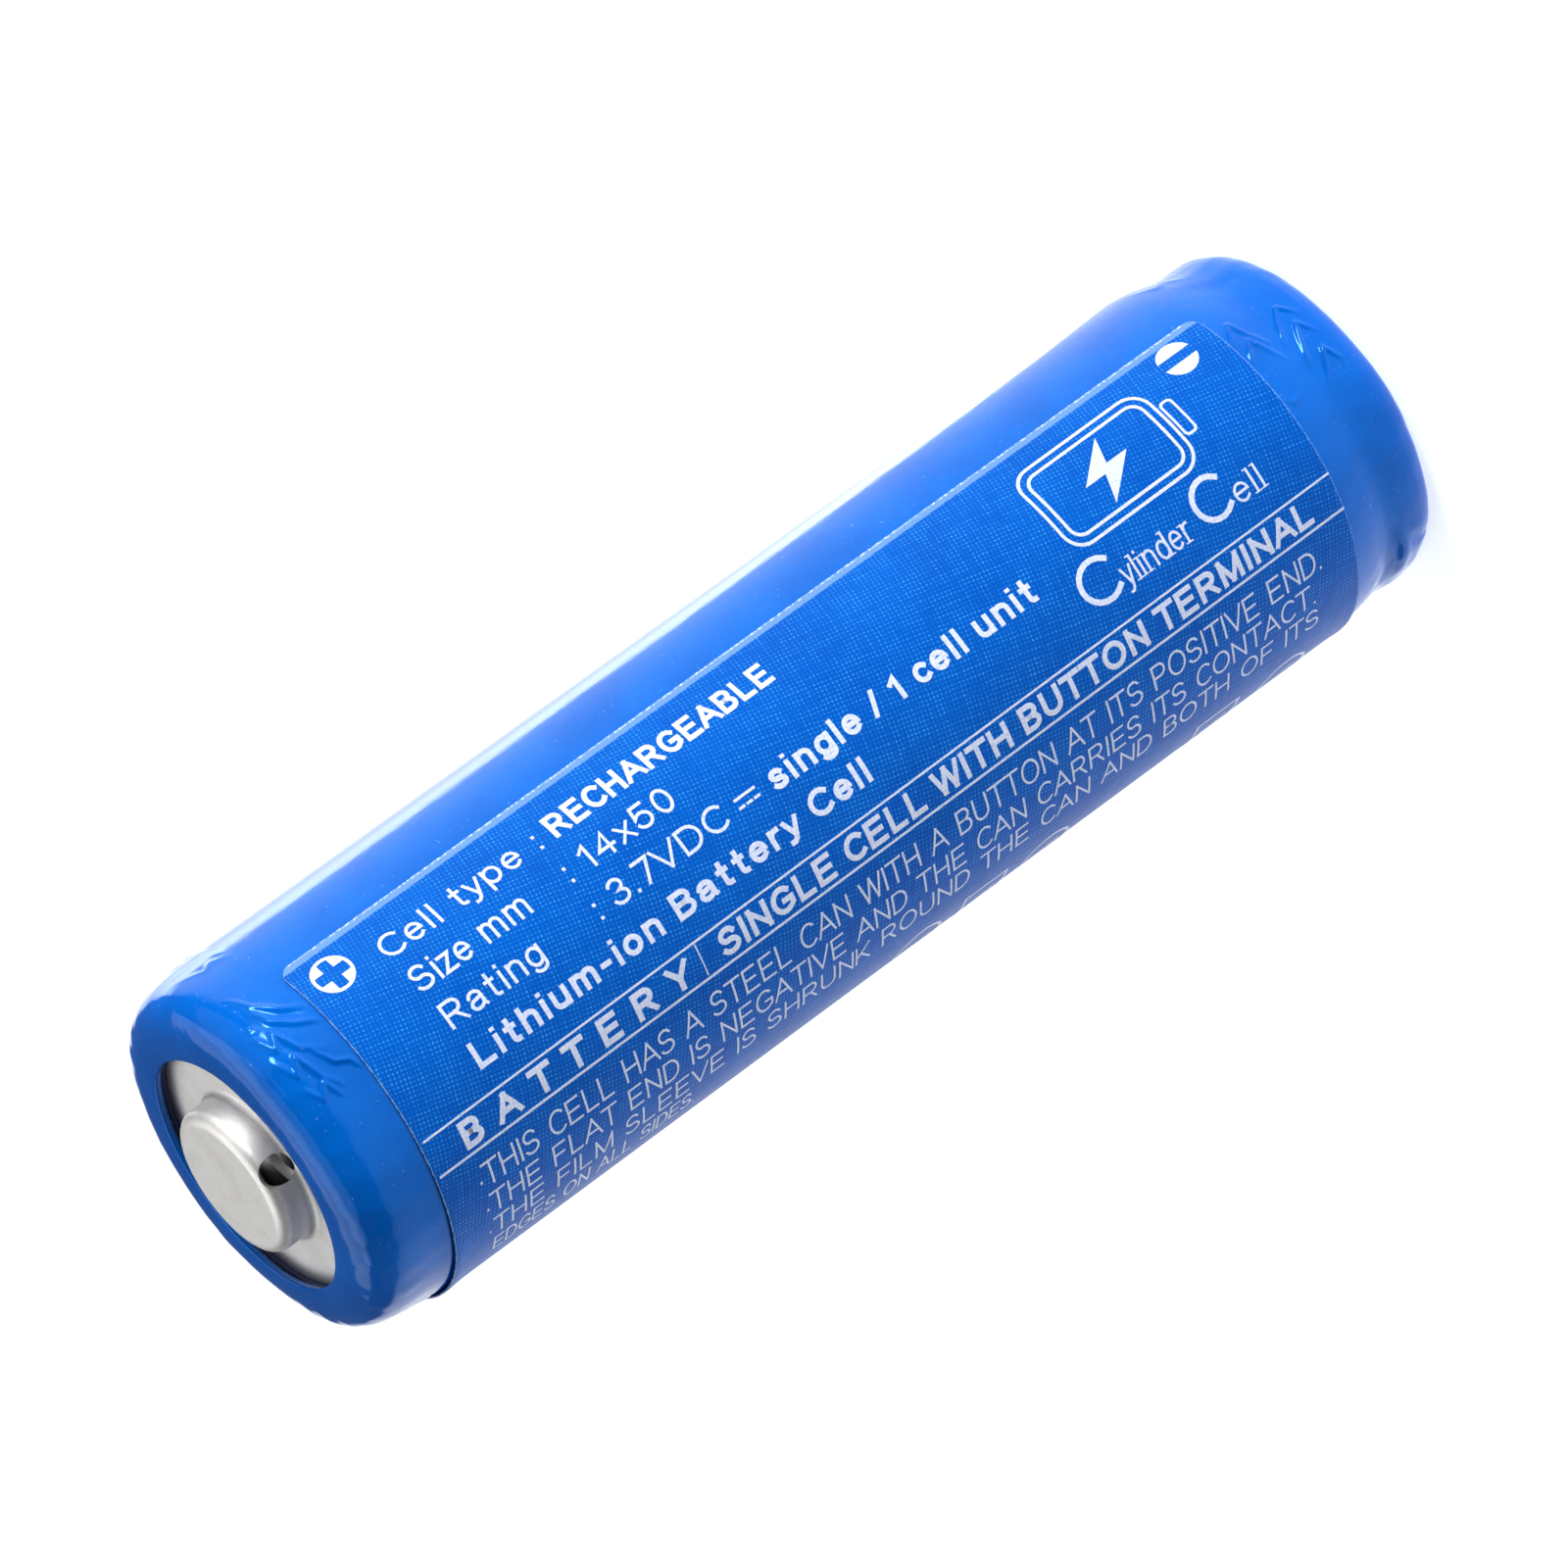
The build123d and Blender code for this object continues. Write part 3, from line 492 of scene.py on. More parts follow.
def make_sleeve():
    outline = sleeve_outline()
    across = np.gradient(outline, axis=0)
    across /= np.linalg.norm(across, axis=1, keepdims=True)
    normal = np.stack([-across[:, 1], across[:, 0]], -1)
    columns = 720
    phi = np.linspace(0, 2 * math.pi, columns, endpoint=False)[None, :]
    r, z = outline[:, :1], outline[:, 1:]
    ones = np.ones((1, columns))
    s, v = (LIP_Z - z) * ones, (math.radians(270) - phi) * LABEL_R * np.ones(r.shape)
    phis, zs = phi * np.ones(r.shape), z * ones
    top = smooth_step(zs, LIP_Z - 4.6, LIP_Z - 2.2)
    low = 1 - smooth_step(zs, 2.4, 4.6)
    turned_in = smooth_step(r * ones, 5.0, 6.6)
    lift = creases(s, v) * turned_in
    lift += (top + low) * waves(phis, zs, 3, 0.022, (2, 9), 1.1, 14) * (0.35 + 0.65 * turned_in)
    lift += (top + low) * waves(phis, zs, 5, 0.006, (14, 40), 3.5, 16) * turned_in
    lift += waves(phis, zs, 11, 0.0022, (2, 12), 0.9, 12)
    # The film is taut over the can, so its dents are shallower than its ridges.
    deepest_free = -0.012
    lift = np.where(lift < deepest_free, deepest_free + (lift - deepest_free) * 0.35, lift)
    # The lower end leans: it bulges towards -X and is drawn in towards +X.
    lean = smooth_step(-zs, -2.6, -1.5) * smooth_step(r * ones, 5.6, 6.4)
    lift += lean * (0.040 - 0.105 * np.cos(phis + 0.25))
    # The upper end leans slightly towards +X.
    lift += (zs > MID_Z) * turned_in * top * 0.05 * np.cos(phis)
    # The film stays outside the can and under the label.
    lift = np.where(zs < LIP_Z - 3.2, np.maximum(lift, can_radius(zs) + 0.028 - r), lift)
    under_label = smooth_step(zs, label_low.z - 0.35, label_low.z + 0.1)
    under_label *= 1 - smooth_step(zs, label_high.z - 0.1, label_high.z + 0.35)
    lift = lift * (1 - under_label) + np.clip(lift, -0.02, 0.004) * under_label
    # The lips wander a little in and out.
    wander_top = (1 - smooth_step(r, 4.5, 5.3)) * (zs > MID_Z) * (waves(phis, zs * 0, 21, 0.035, (2, 7), 0, 6) + 0.02)
    wander_low = (1 - smooth_step(r, 5.3, 5.9)) * (zs < MID_Z) * waves(phis, zs * 0, 22, 0.05, (2, 8), 0, 6)
    radius = r + normal[:, :1] * lift + wander_top + wander_low
    height = z + normal[:, 1:] * lift
    height = np.minimum(np.maximum(height, 0.0), LIP_Z + 0.02)
    outer = np.stack([radius * np.cos(phis), radius * np.sin(phis), height], -1)
    # The inner skin follows the outer one at the film's thickness.
    keep = np.r_[0 : len(r) : 4, len(r) - 1]
    inner_r = radius - normal[:, :1] * FILM
    inner_z = height - normal[:, 1:] * FILM
    on_can = (zs > 0.3) & (zs < LIP_Z - 3.0)
    clear = np.minimum(np.maximum(inner_r, can_radius(zs) + 0.008), radius - 0.012)
    inner_r = np.where(on_can, clear, inner_r)
    inner_r[0], inner_z[0] = radius[0] + 0.01, height[0] - FILM * 0.85
    inner_r[-1], inner_z[-1] = radius[-1] + 0.01, height[-1] + FILM * 0.75
    inner = np.stack([inner_r * np.cos(phis), inner_r * np.sin(phis), inner_z], -1)[keep][::-1]
    made = grid_mesh("sleeve_skin", np.concatenate([outer, inner]), close_across=True, close_along=True)
    made.data.materials.append(MATERIALS["sleeve_film"])
    return made


LABEL_TOP_V = -5.30
LABEL_TURN = math.radians(292.6)


def make_label():
    """The wrapped label: rounded corners, a slightly lifted edge, and a distance-to-edge attribute for its shader."""
    s_low, s_high = LIP_Z - label_high.z, LIP_Z - label_low.z
    v_low, v_high = LABEL_TOP_V, LABEL_TOP_V + LABEL_TURN * LABEL_R
    corner = 0.55
    near = np.r_[0, 0.02, 0.05, 0.1, 0.16, 0.24, 0.34, 0.45, 0.55]
    columns_v = np.r_[v_low + near, np.linspace(v_low + 0.55, v_high - 0.55, 320)[1:-1], v_high - near[::-1]]
    rows_s = np.r_[s_low + near, np.linspace(s_low + 0.55, s_high - 0.55, 90)[1:-1], s_high - near[::-1]]
    s, v = np.meshgrid(rows_s, columns_v, indexing="ij")
    # Rows near a short edge are drawn in at their ends, which rounds the corners.
    to_edge = np.minimum(s - s_low, s_high - s)
    cut = corner - np.sqrt(np.maximum(corner**2 - np.maximum(corner - to_edge, 0) ** 2, 0))
    share = (v - v_low) / (v_high - v_low)
    v = v_low + cut + share * (v_high - v_low - 2 * cut)
    edge = np.minimum.reduce([s - s_low, s_high - s, v - v_low, v_high - v])
    paler = np.minimum.reduce([14.0 * (s - s_low), 14.0 * (s_high - s), v - v_low, v_high - v])
    phi = angle_of(v)
    lifted = smooth_step(-(s - s_low), -0.9, 0.0) * smooth_step(v, 3.0, 8.5) * (1 - smooth_step(v, 13, 17))
    lifted2 = smooth_step(-(s_high - s), -0.7, 0.0) * smooth_step(v, 7.0, 9.5) * (1 - smooth_step(v, 11, 14))
    fringe = smooth_step(-edge, -0.12, 0.0)
    r = LABEL_R - 0.006 + 0.055 * lifted + 0.03 * lifted2 + waves(phi, s, 31, 0.0016, (3, 24), 1.2, 14)
    r = r - 0.012 * fringe
    thick = 0.060
    outer = np.stack([r * np.cos(phi), r * np.sin(phi), LIP_Z - s], -1)
    inner = np.stack([(r - thick) * np.cos(phi), (r - thick) * np.sin(phi), LIP_Z - s], -1)
    rows, columns = s.shape
    both = np.concatenate([outer.reshape(-1, 3), inner.reshape(-1, 3)])
    index = np.arange(rows * columns).reshape(rows, columns)
    top = np.stack([index[:-1, :-1], index[1:, :-1], index[1:, 1:], index[:-1, 1:]], -1).reshape(-1, 4)
    base = top[:, ::-1] + rows * columns
    ring = np.r_[index[0, :], index[1:, -1], index[-1, -2::-1], index[-2:0:-1, 0]]
    after = np.roll(ring, -1)
    side = np.stack([ring, after, after + rows * columns, ring + rows * columns], -1)
    faces = np.concatenate([top, base, side])
    mesh = bpy.data.meshes.new("label_sheet")
    mesh.from_pydata((both * MM).tolist(), [], faces.tolist())
    mesh.validate()
    flat = np.stack([s.ravel(), v.ravel()], -1)
    layer = mesh.uv_layers.new(name="label_mm")
    loops = np.zeros(len(mesh.loops), np.int32)
    mesh.loops.foreach_get("vertex_index", loops)
    layer.data.foreach_set("uv", (np.concatenate([flat, flat])[loops] / 50).astype(np.float32).ravel())
    attribute = mesh.attributes.new("border_mm", "FLOAT", "POINT")
    attribute.data.foreach_set("value", np.concatenate([paler.ravel(), paler.ravel()]).astype(np.float32))
    mesh.shade_smooth()
    mesh.set_sharp_from_angle(angle=math.radians(50))
    made = bpy.data.objects.new("label_sheet", mesh)
    bpy.context.scene.collection.objects.link(made)
    made.data.materials.append(MATERIALS["label_film"])
    return made


# ---------------------------------------------------------------- lettering
# Letters are centre lines on a grid where capitals are 1 high, small letters X and tails reach -0.28.

X = 0.74


def arc(x, y, rx, ry, first, last):
    count = max(3, int(abs(last - first) / 17))
    turns = np.radians(np.linspace(first, last, count))
    return [(x + rx * math.cos(t), y + ry * math.sin(t)) for t in turns]


def arch(x0, x1, foot=0.0):
    """A small letter's shoulder from the stem at x0 down to the foot at x1."""
    return arc((x0 + x1) / 2, 0.50, (x1 - x0) / 2, X - 0.50, 180, 0) + [(x1, foot)]


BOWL = arc(0.26, 0.37, 0.26, 0.37, 0, 360)
LETTERS = {
    "A": [[(0, 0), (0.42, 1)], [(0.84, 0), (0.42, 1)], [(0.16, 0.33), (0.68, 0.33)]],
    "B": [
        [(0, 0.52), (0.36, 0.52), *arc(0.36, 0.26, 0.27, 0.26, 90, -90), (0, 0), (0, 1), (0.34, 1)]
        + arc(0.34, 0.76, 0.25, 0.24, 90, -90) + [(0.3, 0.52)],
    ],
    "C": [arc(0.40, 0.5, 0.40, 0.5, 45, 315)],
    "D": [[(0, 0), (0, 1), (0.30, 1), *arc(0.30, 0.5, 0.40, 0.5, 90, -90), (0, 0)]],
    "E": [[(0.60, 1), (0, 1), (0, 0), (0.62, 0)], [(0.02, 0.52), (0.55, 0.52)]],
    "F": [[(0.58, 1), (0, 1), (0, 0)], [(0.02, 0.50), (0.50, 0.50)]],
    "G": [arc(0.41, 0.5, 0.41, 0.5, 45, 305) + [(0.78, 0.20), (0.78, 0.45), (0.46, 0.45)]],
    "H": [[(0, 0), (0, 1)], [(0.68, 0), (0.68, 1)], [(0, 0.52), (0.68, 0.52)]],
    "I": [[(0, 0), (0, 1)]],
    "J": [[(0.42, 1), (0.42, 0.26), *arc(0.21, 0.24, 0.21, 0.24, 0, -170)]],
    "K": [[(0, 0), (0, 1)], [(0.66, 1), (0.02, 0.36)], [(0.22, 0.58), (0.70, 0)]],
    "L": [[(0, 1), (0, 0), (0.54, 0)]],
    "M": [[(0, 0), (0, 1)], [(0, 1), (0.41, 0)], [(0.82, 1), (0.41, 0)], [(0.82, 0), (0.82, 1)]],
    "N": [[(0, 0), (0, 1)], [(0, 1), (0.68, 0)], [(0.68, 0), (0.68, 1)]],
    "O": [arc(0.42, 0.5, 0.42, 0.5, 0, 360)],
    "P": [[(0, 0), (0, 1), (0.36, 1), *arc(0.36, 0.735, 0.27, 0.265, 90, -90), (0.02, 0.47)]],
    "R": [
        [(0, 0), (0, 1), (0.38, 1), *arc(0.38, 0.74, 0.26, 0.26, 90, -90), (0.02, 0.48)],
        [(0.36, 0.47), (0.68, 0)],
    ],
    "S": [arc(0.33, 0.745, 0.29, 0.255, 25, 250) + arc(0.33, 0.265, 0.33, 0.265, 75, -155)],
    "T": [[(0, 1), (0.74, 1)], [(0.37, 1), (0.37, 0)]],
    "U": [[(0, 1), (0, 0.34), *arc(0.34, 0.34, 0.34, 0.34, 180, 360), (0.68, 1)]],
    "V": [[(0, 1), (0.40, 0)], [(0.80, 1), (0.40, 0)]],
    "W": [[(0, 1), (0.27, 0)], [(0.54, 1), (0.27, 0)], [(0.54, 1), (0.81, 0)], [(1.08, 1), (0.81, 0)]],
    "X": [[(0, 0), (0.74, 1)], [(0, 1), (0.74, 0)]],
    "Y": [[(0, 1), (0.38, 0.42)], [(0.76, 1), (0.38, 0.42)], [(0.38, 0.46), (0.38, 0)]],
    "a": [
        arc(0.25, 0.51, 0.23, 0.23, 165, 0) + [(0.48, 0.10), (0.53, 0)],
        [(0.48, 0.43), (0.24, 0.39), *arc(0.19, 0.19, 0.19, 0.19, 100, 270), (0.28, 0.01)]
        + arc(0.26, 0.24, 0.22, 0.22, 290, 350),
    ],
    "b": [[(0, 0), (0, 1)], BOWL],
    "c": [arc(0.26, 0.37, 0.26, 0.37, 45, 315)],
    "d": [[(0.52, 0), (0.52, 1)], BOWL],
    "e": [[(0.02, 0.39), (0.50, 0.39)], arc(0.26, 0.37, 0.26, 0.37, 4, 318)],
    "f": [[(0.36, 0.99), *arc(0.30, 0.82, 0.16, 0.18, 90, 180), (0.14, 0)], [(0, 0.70), (0.30, 0.70)]],
    "g": [[(0.52, X), (0.52, -0.04), *arc(0.27, -0.06, 0.25, 0.22, 0, -155)], BOWL],
    "h": [[(0, 0), (0, 1)], arch(0, 0.48)],
    "i": [[(0, 0), (0, X)], [(0, 0.99), (0, 1)]],
    "k": [[(0, 0), (0, 1)], [(0.44, X), (0.02, 0.30)], [(0.16, 0.44), (0.48, 0)]],
    "l": [[(0, 0), (0, 1)]],
    "m": [[(0, 0), (0, X)], arch(0, 0.40), arch(0.40, 0.80)],
    "n": [[(0, 0), (0, X)], arch(0, 0.48)],
    "o": [arc(0.27, 0.37, 0.27, 0.37, 0, 360)],
    "p": [[(0, -0.28), (0, X)], BOWL],
    "r": [[(0, 0), (0, X)], arc(0.24, 0.44, 0.24, 0.30, 180, 80)],
    "s": [arc(0.23, 0.555, 0.20, 0.185, 25, 255) + arc(0.23, 0.185, 0.23, 0.185, 78, -155)],
    "t": [[(0.14, 0.96), (0.14, 0.16), *arc(0.26, 0.14, 0.12, 0.14, 180, 270), (0.30, 0)], [(0, 0.70), (0.29, 0.70)]],
    "u": [[(0, X), (0, 0.24), *arc(0.24, 0.24, 0.24, 0.24, 180, 350)], [(0.48, 0), (0.48, X)]],
    "v": [[(0, X), (0.23, 0)], [(0.46, X), (0.23, 0)]],
    "w": [[(0, X), (0.18, 0)], [(0.36, X), (0.18, 0)], [(0.36, X), (0.54, 0)], [(0.72, X), (0.54, 0)]],
    "x": [[(0, 0), (0.46, X)], [(0, X), (0.46, 0)]],
    "y": [[(0, X), (0.24, 0.02)], [(0.48, X), (0.20, -0.16), (0.10, -0.27), (0.0, -0.27)]],
    "z": [[(0, X), (0.44, X), (0, 0), (0.46, 0)]],
    "0": [arc(0.26, 0.5, 0.26, 0.5, 0, 360)],
    "1": [[(0, 0.74), (0.22, 1), (0.22, 0)]],
    "2": [arc(0.25, 0.73, 0.25, 0.27, 165, -25) + [(0, 0), (0.53, 0)]],
    "3": [arc(0.25, 0.755, 0.22, 0.245, 160, -90) + arc(0.25, 0.265, 0.27, 0.265, 80, -160)],
    "4": [[(0.40, 0), (0.40, 1), (0, 0.30), (0.56, 0.30)]],
    "5": [[(0.48, 1), (0.08, 1), (0.02, 0.50), *arc(0.25, 0.32, 0.27, 0.32, 120, -155)]],
    "7": [[(0, 1), (0.52, 1), (0.18, 0)]],
    ".": [[(0, 0), (0, 0.01)]],
    ",": [[(0.02, 0.02), (0, -0.14)]],
    ":": [[(0, 0), (0, 0.01)], [(0, 0.62), (0, 0.63)]],
    "-": [[(0, 0.36), (0.24, 0.36)]],
    "/": [[(0, 0), (0.30, 1)]],
    "*": [[(0, 0.30), (0, 0.31)]],
}
SLANTED, ROUND = "AVWXYTKvwxykz/7", "CGOQSDaceosgdpb023"


def raised(letter, y, weight):
    """A centre line's height once its stroke has a weight, so that letters keep their outer heights."""
    if not letter.islower():
        return weight / 2 + y * (1 - weight)
    small = (X + 0.01 - weight) / X
    return weight / 2 + (y * small if y <= X else X * small + (y - X) / (1 - X) * (1 - weight - X * small))


def band(points, width, low, high):
    """The two edges of a stroke: square ends, mitred joints, and nothing past the letter's foot or head."""
    points = np.array(points, float)
    steps = np.diff(points, axis=0)
    keep = np.r_[True, np.hypot(*steps.T) > 1e-4]
    points = points[keep]
    steps = np.diff(points, axis=0)
    steps /= np.hypot(*steps.T)[:, None]
    closed = len(points) > 3 and np.allclose(points[0], points[-1], atol=1e-3)
    if not closed:
        points[0] -= steps[0] * width / 2
        points[-1] += steps[-1] * width / 2
    before = np.vstack([steps[-1:] if closed else steps[:1], steps])
    after = np.vstack([steps, steps[:1] if closed else steps[-1:]])
    middle = before + after
    middle /= np.maximum(np.hypot(*middle.T), 1e-3)[:, None]
    reach = np.minimum(1 / np.maximum((middle * before).sum(1), 0.2), 2.4)
    side = np.stack([-middle[:, 1], middle[:, 0]], -1) * reach[:, None] * width / 2
    edges = np.stack([points + side, points - side])
    edges[..., 1] = np.clip(edges[..., 1], low, high)
    return edges


class Print:
    """Flat shapes in label places (s, v) that are later cut into narrow strips and bent round the label."""

    def __init__(self):
        self.flat = bmesh.new()
        self.level = 0

    def quads(self, left, right):
        # Shapes that cross lie at slightly different heights.
        self.level = (self.level + 1) % 4
        a = [self.flat.verts.new((s, -v, self.level * 0.0006)) for s, v in left]
        b = [self.flat.verts.new((s, -v, self.level * 0.0006)) for s, v in right]
        for k in range(len(a) - 1):
            self.flat.faces.new([a[k], b[k], b[k + 1], a[k + 1]])

    def polygon(self, points):
        self.level = (self.level + 1) % 4
        self.flat.faces.new([self.flat.verts.new((s, -v, self.level * 0.0006)) for s, v in points])

    def ring(self, outer, inner):
        self.quads(list(outer) + [outer[0]], list(inner) + [inner[0]])

    def line(self, start, end, width):
        (s0, v0), (s1, v1) = start, end
        length = math.dist(start, end)
        ds, dv = (s1 - s0) / length * width / 2, (v1 - v0) / length * width / 2
        self.quads([(s0 - dv, v0 + ds), (s1 - dv, v1 + ds)], [(s0 + dv, v0 - ds), (s1 + dv, v1 - ds)])

    def words(self, text, s0, baseline, cap, weight=0.125, s1=None, gap=0.20, space=0.42, serif=False):
        """Words from s0, with capitals of height cap, stretched to end at s1 when that is given."""
        placed, x = [], 0.0
        for letter in text:
            if letter == " ":
                x += space
                continue
            strokes = LETTERS[letter]
            low = min(p[0] for stroke in strokes for p in stroke)
            wide = max(p[0] for stroke in strokes for p in stroke) - low
            tight = 0.16 if letter in SLANTED else 0.05 if letter in ROUND else 0.0
            x -= tight / 2
            placed.append((letter, x - low))
            x += wide + weight + gap - tight / 2
        stretch = (s1 - s0) / ((x - gap) * cap) if s1 else 1.0

        def print_band(line, width, low, high):
            edges = band(line, width, low, high)
            self.quads(*[[(s0 + px * cap, baseline - py * cap) for px, py in edge] for edge in edges])

        for letter, x in placed:
            strokes = LETTERS[letter]
            tall = max(p[1] for stroke in strokes for p in stroke)
            head = raised(letter, tall, weight) + weight / 2
            for stroke in strokes:
                # A stroke keeps its own width when the word is stretched.
                line = [((px + x + weight / 2) * stretch, raised(letter, py, weight)) for px, py in stroke]
                dot = letter == "i" and stroke[0][1] > X
                print_band(line, weight, 0.86 if dot else -0.4 if letter in "gpy," else 0.0, head)
                upright = len(stroke) == 2 and stroke[0][0] == stroke[1][0]
                if serif and upright and abs(stroke[0][1] - stroke[1][1]) > 0.3:
                    foot, top = line[0][0], line[1][1]
                    for at, a, b in ((0.03, 0.13, 0.13), (top + weight / 2 - 0.03, 0.13, 0.0)):
                        print_band([(foot - a, at), (foot + b, at)], 0.05, -0.1, 1.1)

    def finish(self, name):
        flat = self.flat
        heights = [p.co.y for p in flat.verts]
        step = 0.30
        for k in range(int(min(heights) / step) - 1, int(max(heights) / step) + 2):
            everything = flat.verts[:] + flat.edges[:] + flat.faces[:]
            bmesh.ops.bisect_plane(flat, geom=everything, plane_co=(0, k * step, 0), plane_no=(0, 1, 0), dist=1e-5)
        bmesh.ops.triangulate(flat, faces=flat.faces[:])
        made = bmesh.ops.extrude_face_region(flat, geom=flat.faces[:])["geom"]
        for vertex in made:
            if isinstance(vertex, bmesh.types.BMVert):
                vertex.co.z += PRINT_DEPTH
        bmesh.ops.recalc_face_normals(flat, faces=flat.faces[:])
        mesh = bpy.data.meshes.new(name)
        flat.to_mesh(mesh)
        flat.free()
        co = np.zeros(len(mesh.vertices) * 3, np.float32)
        mesh.vertices.foreach_get("co", co)
        co = co.reshape(-1, 3).astype(float)
        # The print sits a little askew on the label.
        s, v = co[:, 0], -co[:, 1] - PRINT_SLOPE * (co[:, 0] - 4.0)
        loops = np.zeros(len(mesh.loops), np.int32)
        mesh.loops.foreach_get("vertex_index", loops)
        layer = mesh.uv_layers.new(name="label_mm")
        layer.data.foreach_set("uv", (np.stack([s, v], -1)[loops] / 50).astype(np.float32).ravel())
        phi, r = angle_of(v), LABEL_R + 0.003 - PRINT_DEPTH + co[:, 2]
        bent = np.stack([r * np.cos(phi), r * np.sin(phi), LIP_Z - s], -1) * MM
        mesh.vertices.foreach_set("co", bent.astype(np.float32).ravel())
        mesh.update()
        made = bpy.data.objects.new(name, mesh)
        bpy.context.scene.collection.objects.link(made)
        made.data.materials.append(MATERIALS["print_ink"])
        return made


PRINT_DEPTH = 0.010
PRINT_SLOPE = 0.0058
BOLD, THIN = 0.195, 0.088


def circle(s, v, r, count=48, first=0.0):
    turns = [first + 2 * math.pi * k / count for k in range(count)]
    return [(s + r * math.cos(t), v + r * math.sin(t)) for t in turns]


def polarity_marks(ink):
    """A plus and a minus, each left blue on a white disc."""
    s, v, r, arm, reach = 4.50, -3.90, 0.78, 0.215, 0.62
    for turn in range(4):
        first, last = math.atan2(arm, reach), math.atan2(reach, arm)
        rim = math.hypot(reach, arm)
        points = [(arm, arm)] + [(rim * math.cos(t), rim * math.sin(t)) for t in np.linspace(first, last, 12)]
        c, d = round(math.cos(turn * math.pi / 2)), round(math.sin(turn * math.pi / 2))
        ink.polygon([(s + c * x - d * y, v + d * x + c * y) for x, y in points])
    ink.ring(circle(s, v, r), circle(s, v, r - 0.13))
    s, v, r, half = 43.35, -3.95, 0.76, 0.21
    for side in (-1, 1):
        start = math.asin(half / r)
        arc_points = np.linspace(start, math.pi - start, 22)
        ink.polygon([(s + r * math.cos(t), v + side * r * math.sin(t)) for t in arc_points])


def rounded(s0, s1, v0, v1, corner, count=7):
    points = []
    left, right, top, bottom = s0 + corner, s1 - corner, v0 + corner, v1 - corner
    for cs, cv, first in ((right, bottom, 0), (left, bottom, 90), (left, top, 180), (right, top, 270)):
        for t in np.linspace(first, first + 90, count):
            points.append((cs + corner * math.cos(math.radians(t)), cv + corner * math.sin(math.radians(t))))
    return points


def badge(ink):
    """A generic charging badge: a double-lined cell with a bolt."""
    for s0, s1, v0, v1, corner in ((35.2, 41.3, -3.95, -0.25, 0.85), (35.55, 40.95, -3.60, -0.60, 0.55)):
        ink.ring(rounded(s0, s1, v0, v1, corner), rounded(s0 + 0.12, s1 - 0.12, v0 + 0.12, v1 - 0.12, corner - 0.10))
    ink.ring(rounded(41.38, 41.95, -2.90, -1.30, 0.2), rounded(41.48, 41.85, -2.80, -1.40, 0.12))
    ink.polygon([(38.80, -3.30), (37.15, -1.97), (38.08, -1.97), (37.65, -0.90), (39.35, -2.27), (38.40, -2.27)])


def front_words(ink):
    ink.words("Cell type", 6.30, -3.03, 0.95, s1=12.30)
    ink.words(":", 13.05, -3.03, 0.95)
    ink.words("RECHARGEABLE", 13.75, -3.03, 0.96, BOLD, s1=23.65)
    ink.words("Size mm", 6.35, -1.42, 0.97, s1=11.30)
    ink.words(":", 13.05, -1.42, 0.95)
    ink.words("14x50", 13.80, -1.42, 0.97, s1=17.80)
    ink.words("Rating", 6.40, 0.18, 0.97, s1=10.60)
    ink.words(":", 13.05, 0.18, 0.95)
    ink.words("3.7VDC", 13.80, 0.18, 0.97, s1=18.90)
    ink.line((19.45, -0.42), (20.40, -0.42), 0.10)
    for k in range(3):
        ink.line((19.45 + 0.34 * k, -0.10), (19.72 + 0.34 * k, -0.10), 0.10)
    ink.words("single / 1 cell unit", 21.00, 0.20, 0.98, BOLD, s1=33.10)
    ink.words("Lithium-ion Battery Cell", 6.45, 1.82, 0.98, BOLD, s1=24.20)
    ink.words("C", 34.50, 1.78, 1.75, 0.12, s1=36.05)
    ink.words("ylinder", 36.25, 1.72, 0.98, 0.10, s1=39.35, serif=True)
    ink.words("C", 39.85, 1.78, 1.75, 0.12, s1=41.30)
    ink.words("ell", 41.50, 1.72, 0.98, 0.10, s1=42.75, serif=True)
    # The band between two rules.
    ink.line((3.36, 2.66), (45.10, 2.66), 0.08)
    ink.line((3.36, 4.10), (45.10, 4.10), 0.095)
    ink.line((15.42, 2.72), (15.42, 3.98), 0.05)
    ink.words("BATTERY", 4.70, 3.90, 1.05, 0.21, s1=14.80, gap=0.72)
    ink.words("SINGLE CELL WITH BUTTON TERMINAL", 16.30, 3.88, 1.02, BOLD, s1=43.80)
    for text, s0, baseline, cap, s1 in (
        ("*THIS CELL HAS A STEEL CAN WITH A BUTTON AT ITS POSITIVE END.", 4.70, 5.67, 1.00, 43.50),
        ("*THE FLAT END IS NEGATIVE AND THE CAN CARRIES ITS CONTACT.", 4.70, 6.97, 0.98, 43.00),
        ("*THE FILM SLEEVE IS SHRUNK ROUND THE CAN AND BOTH OF ITS", 4.70, 8.22, 0.96, 43.10),
        ("EDGES ON ALL SIDES.", 4.95, 9.45, 0.95, 14.00),
    ):
        ink.words(text, s0, baseline, cap, THIN, s1=s1, space=0.5)


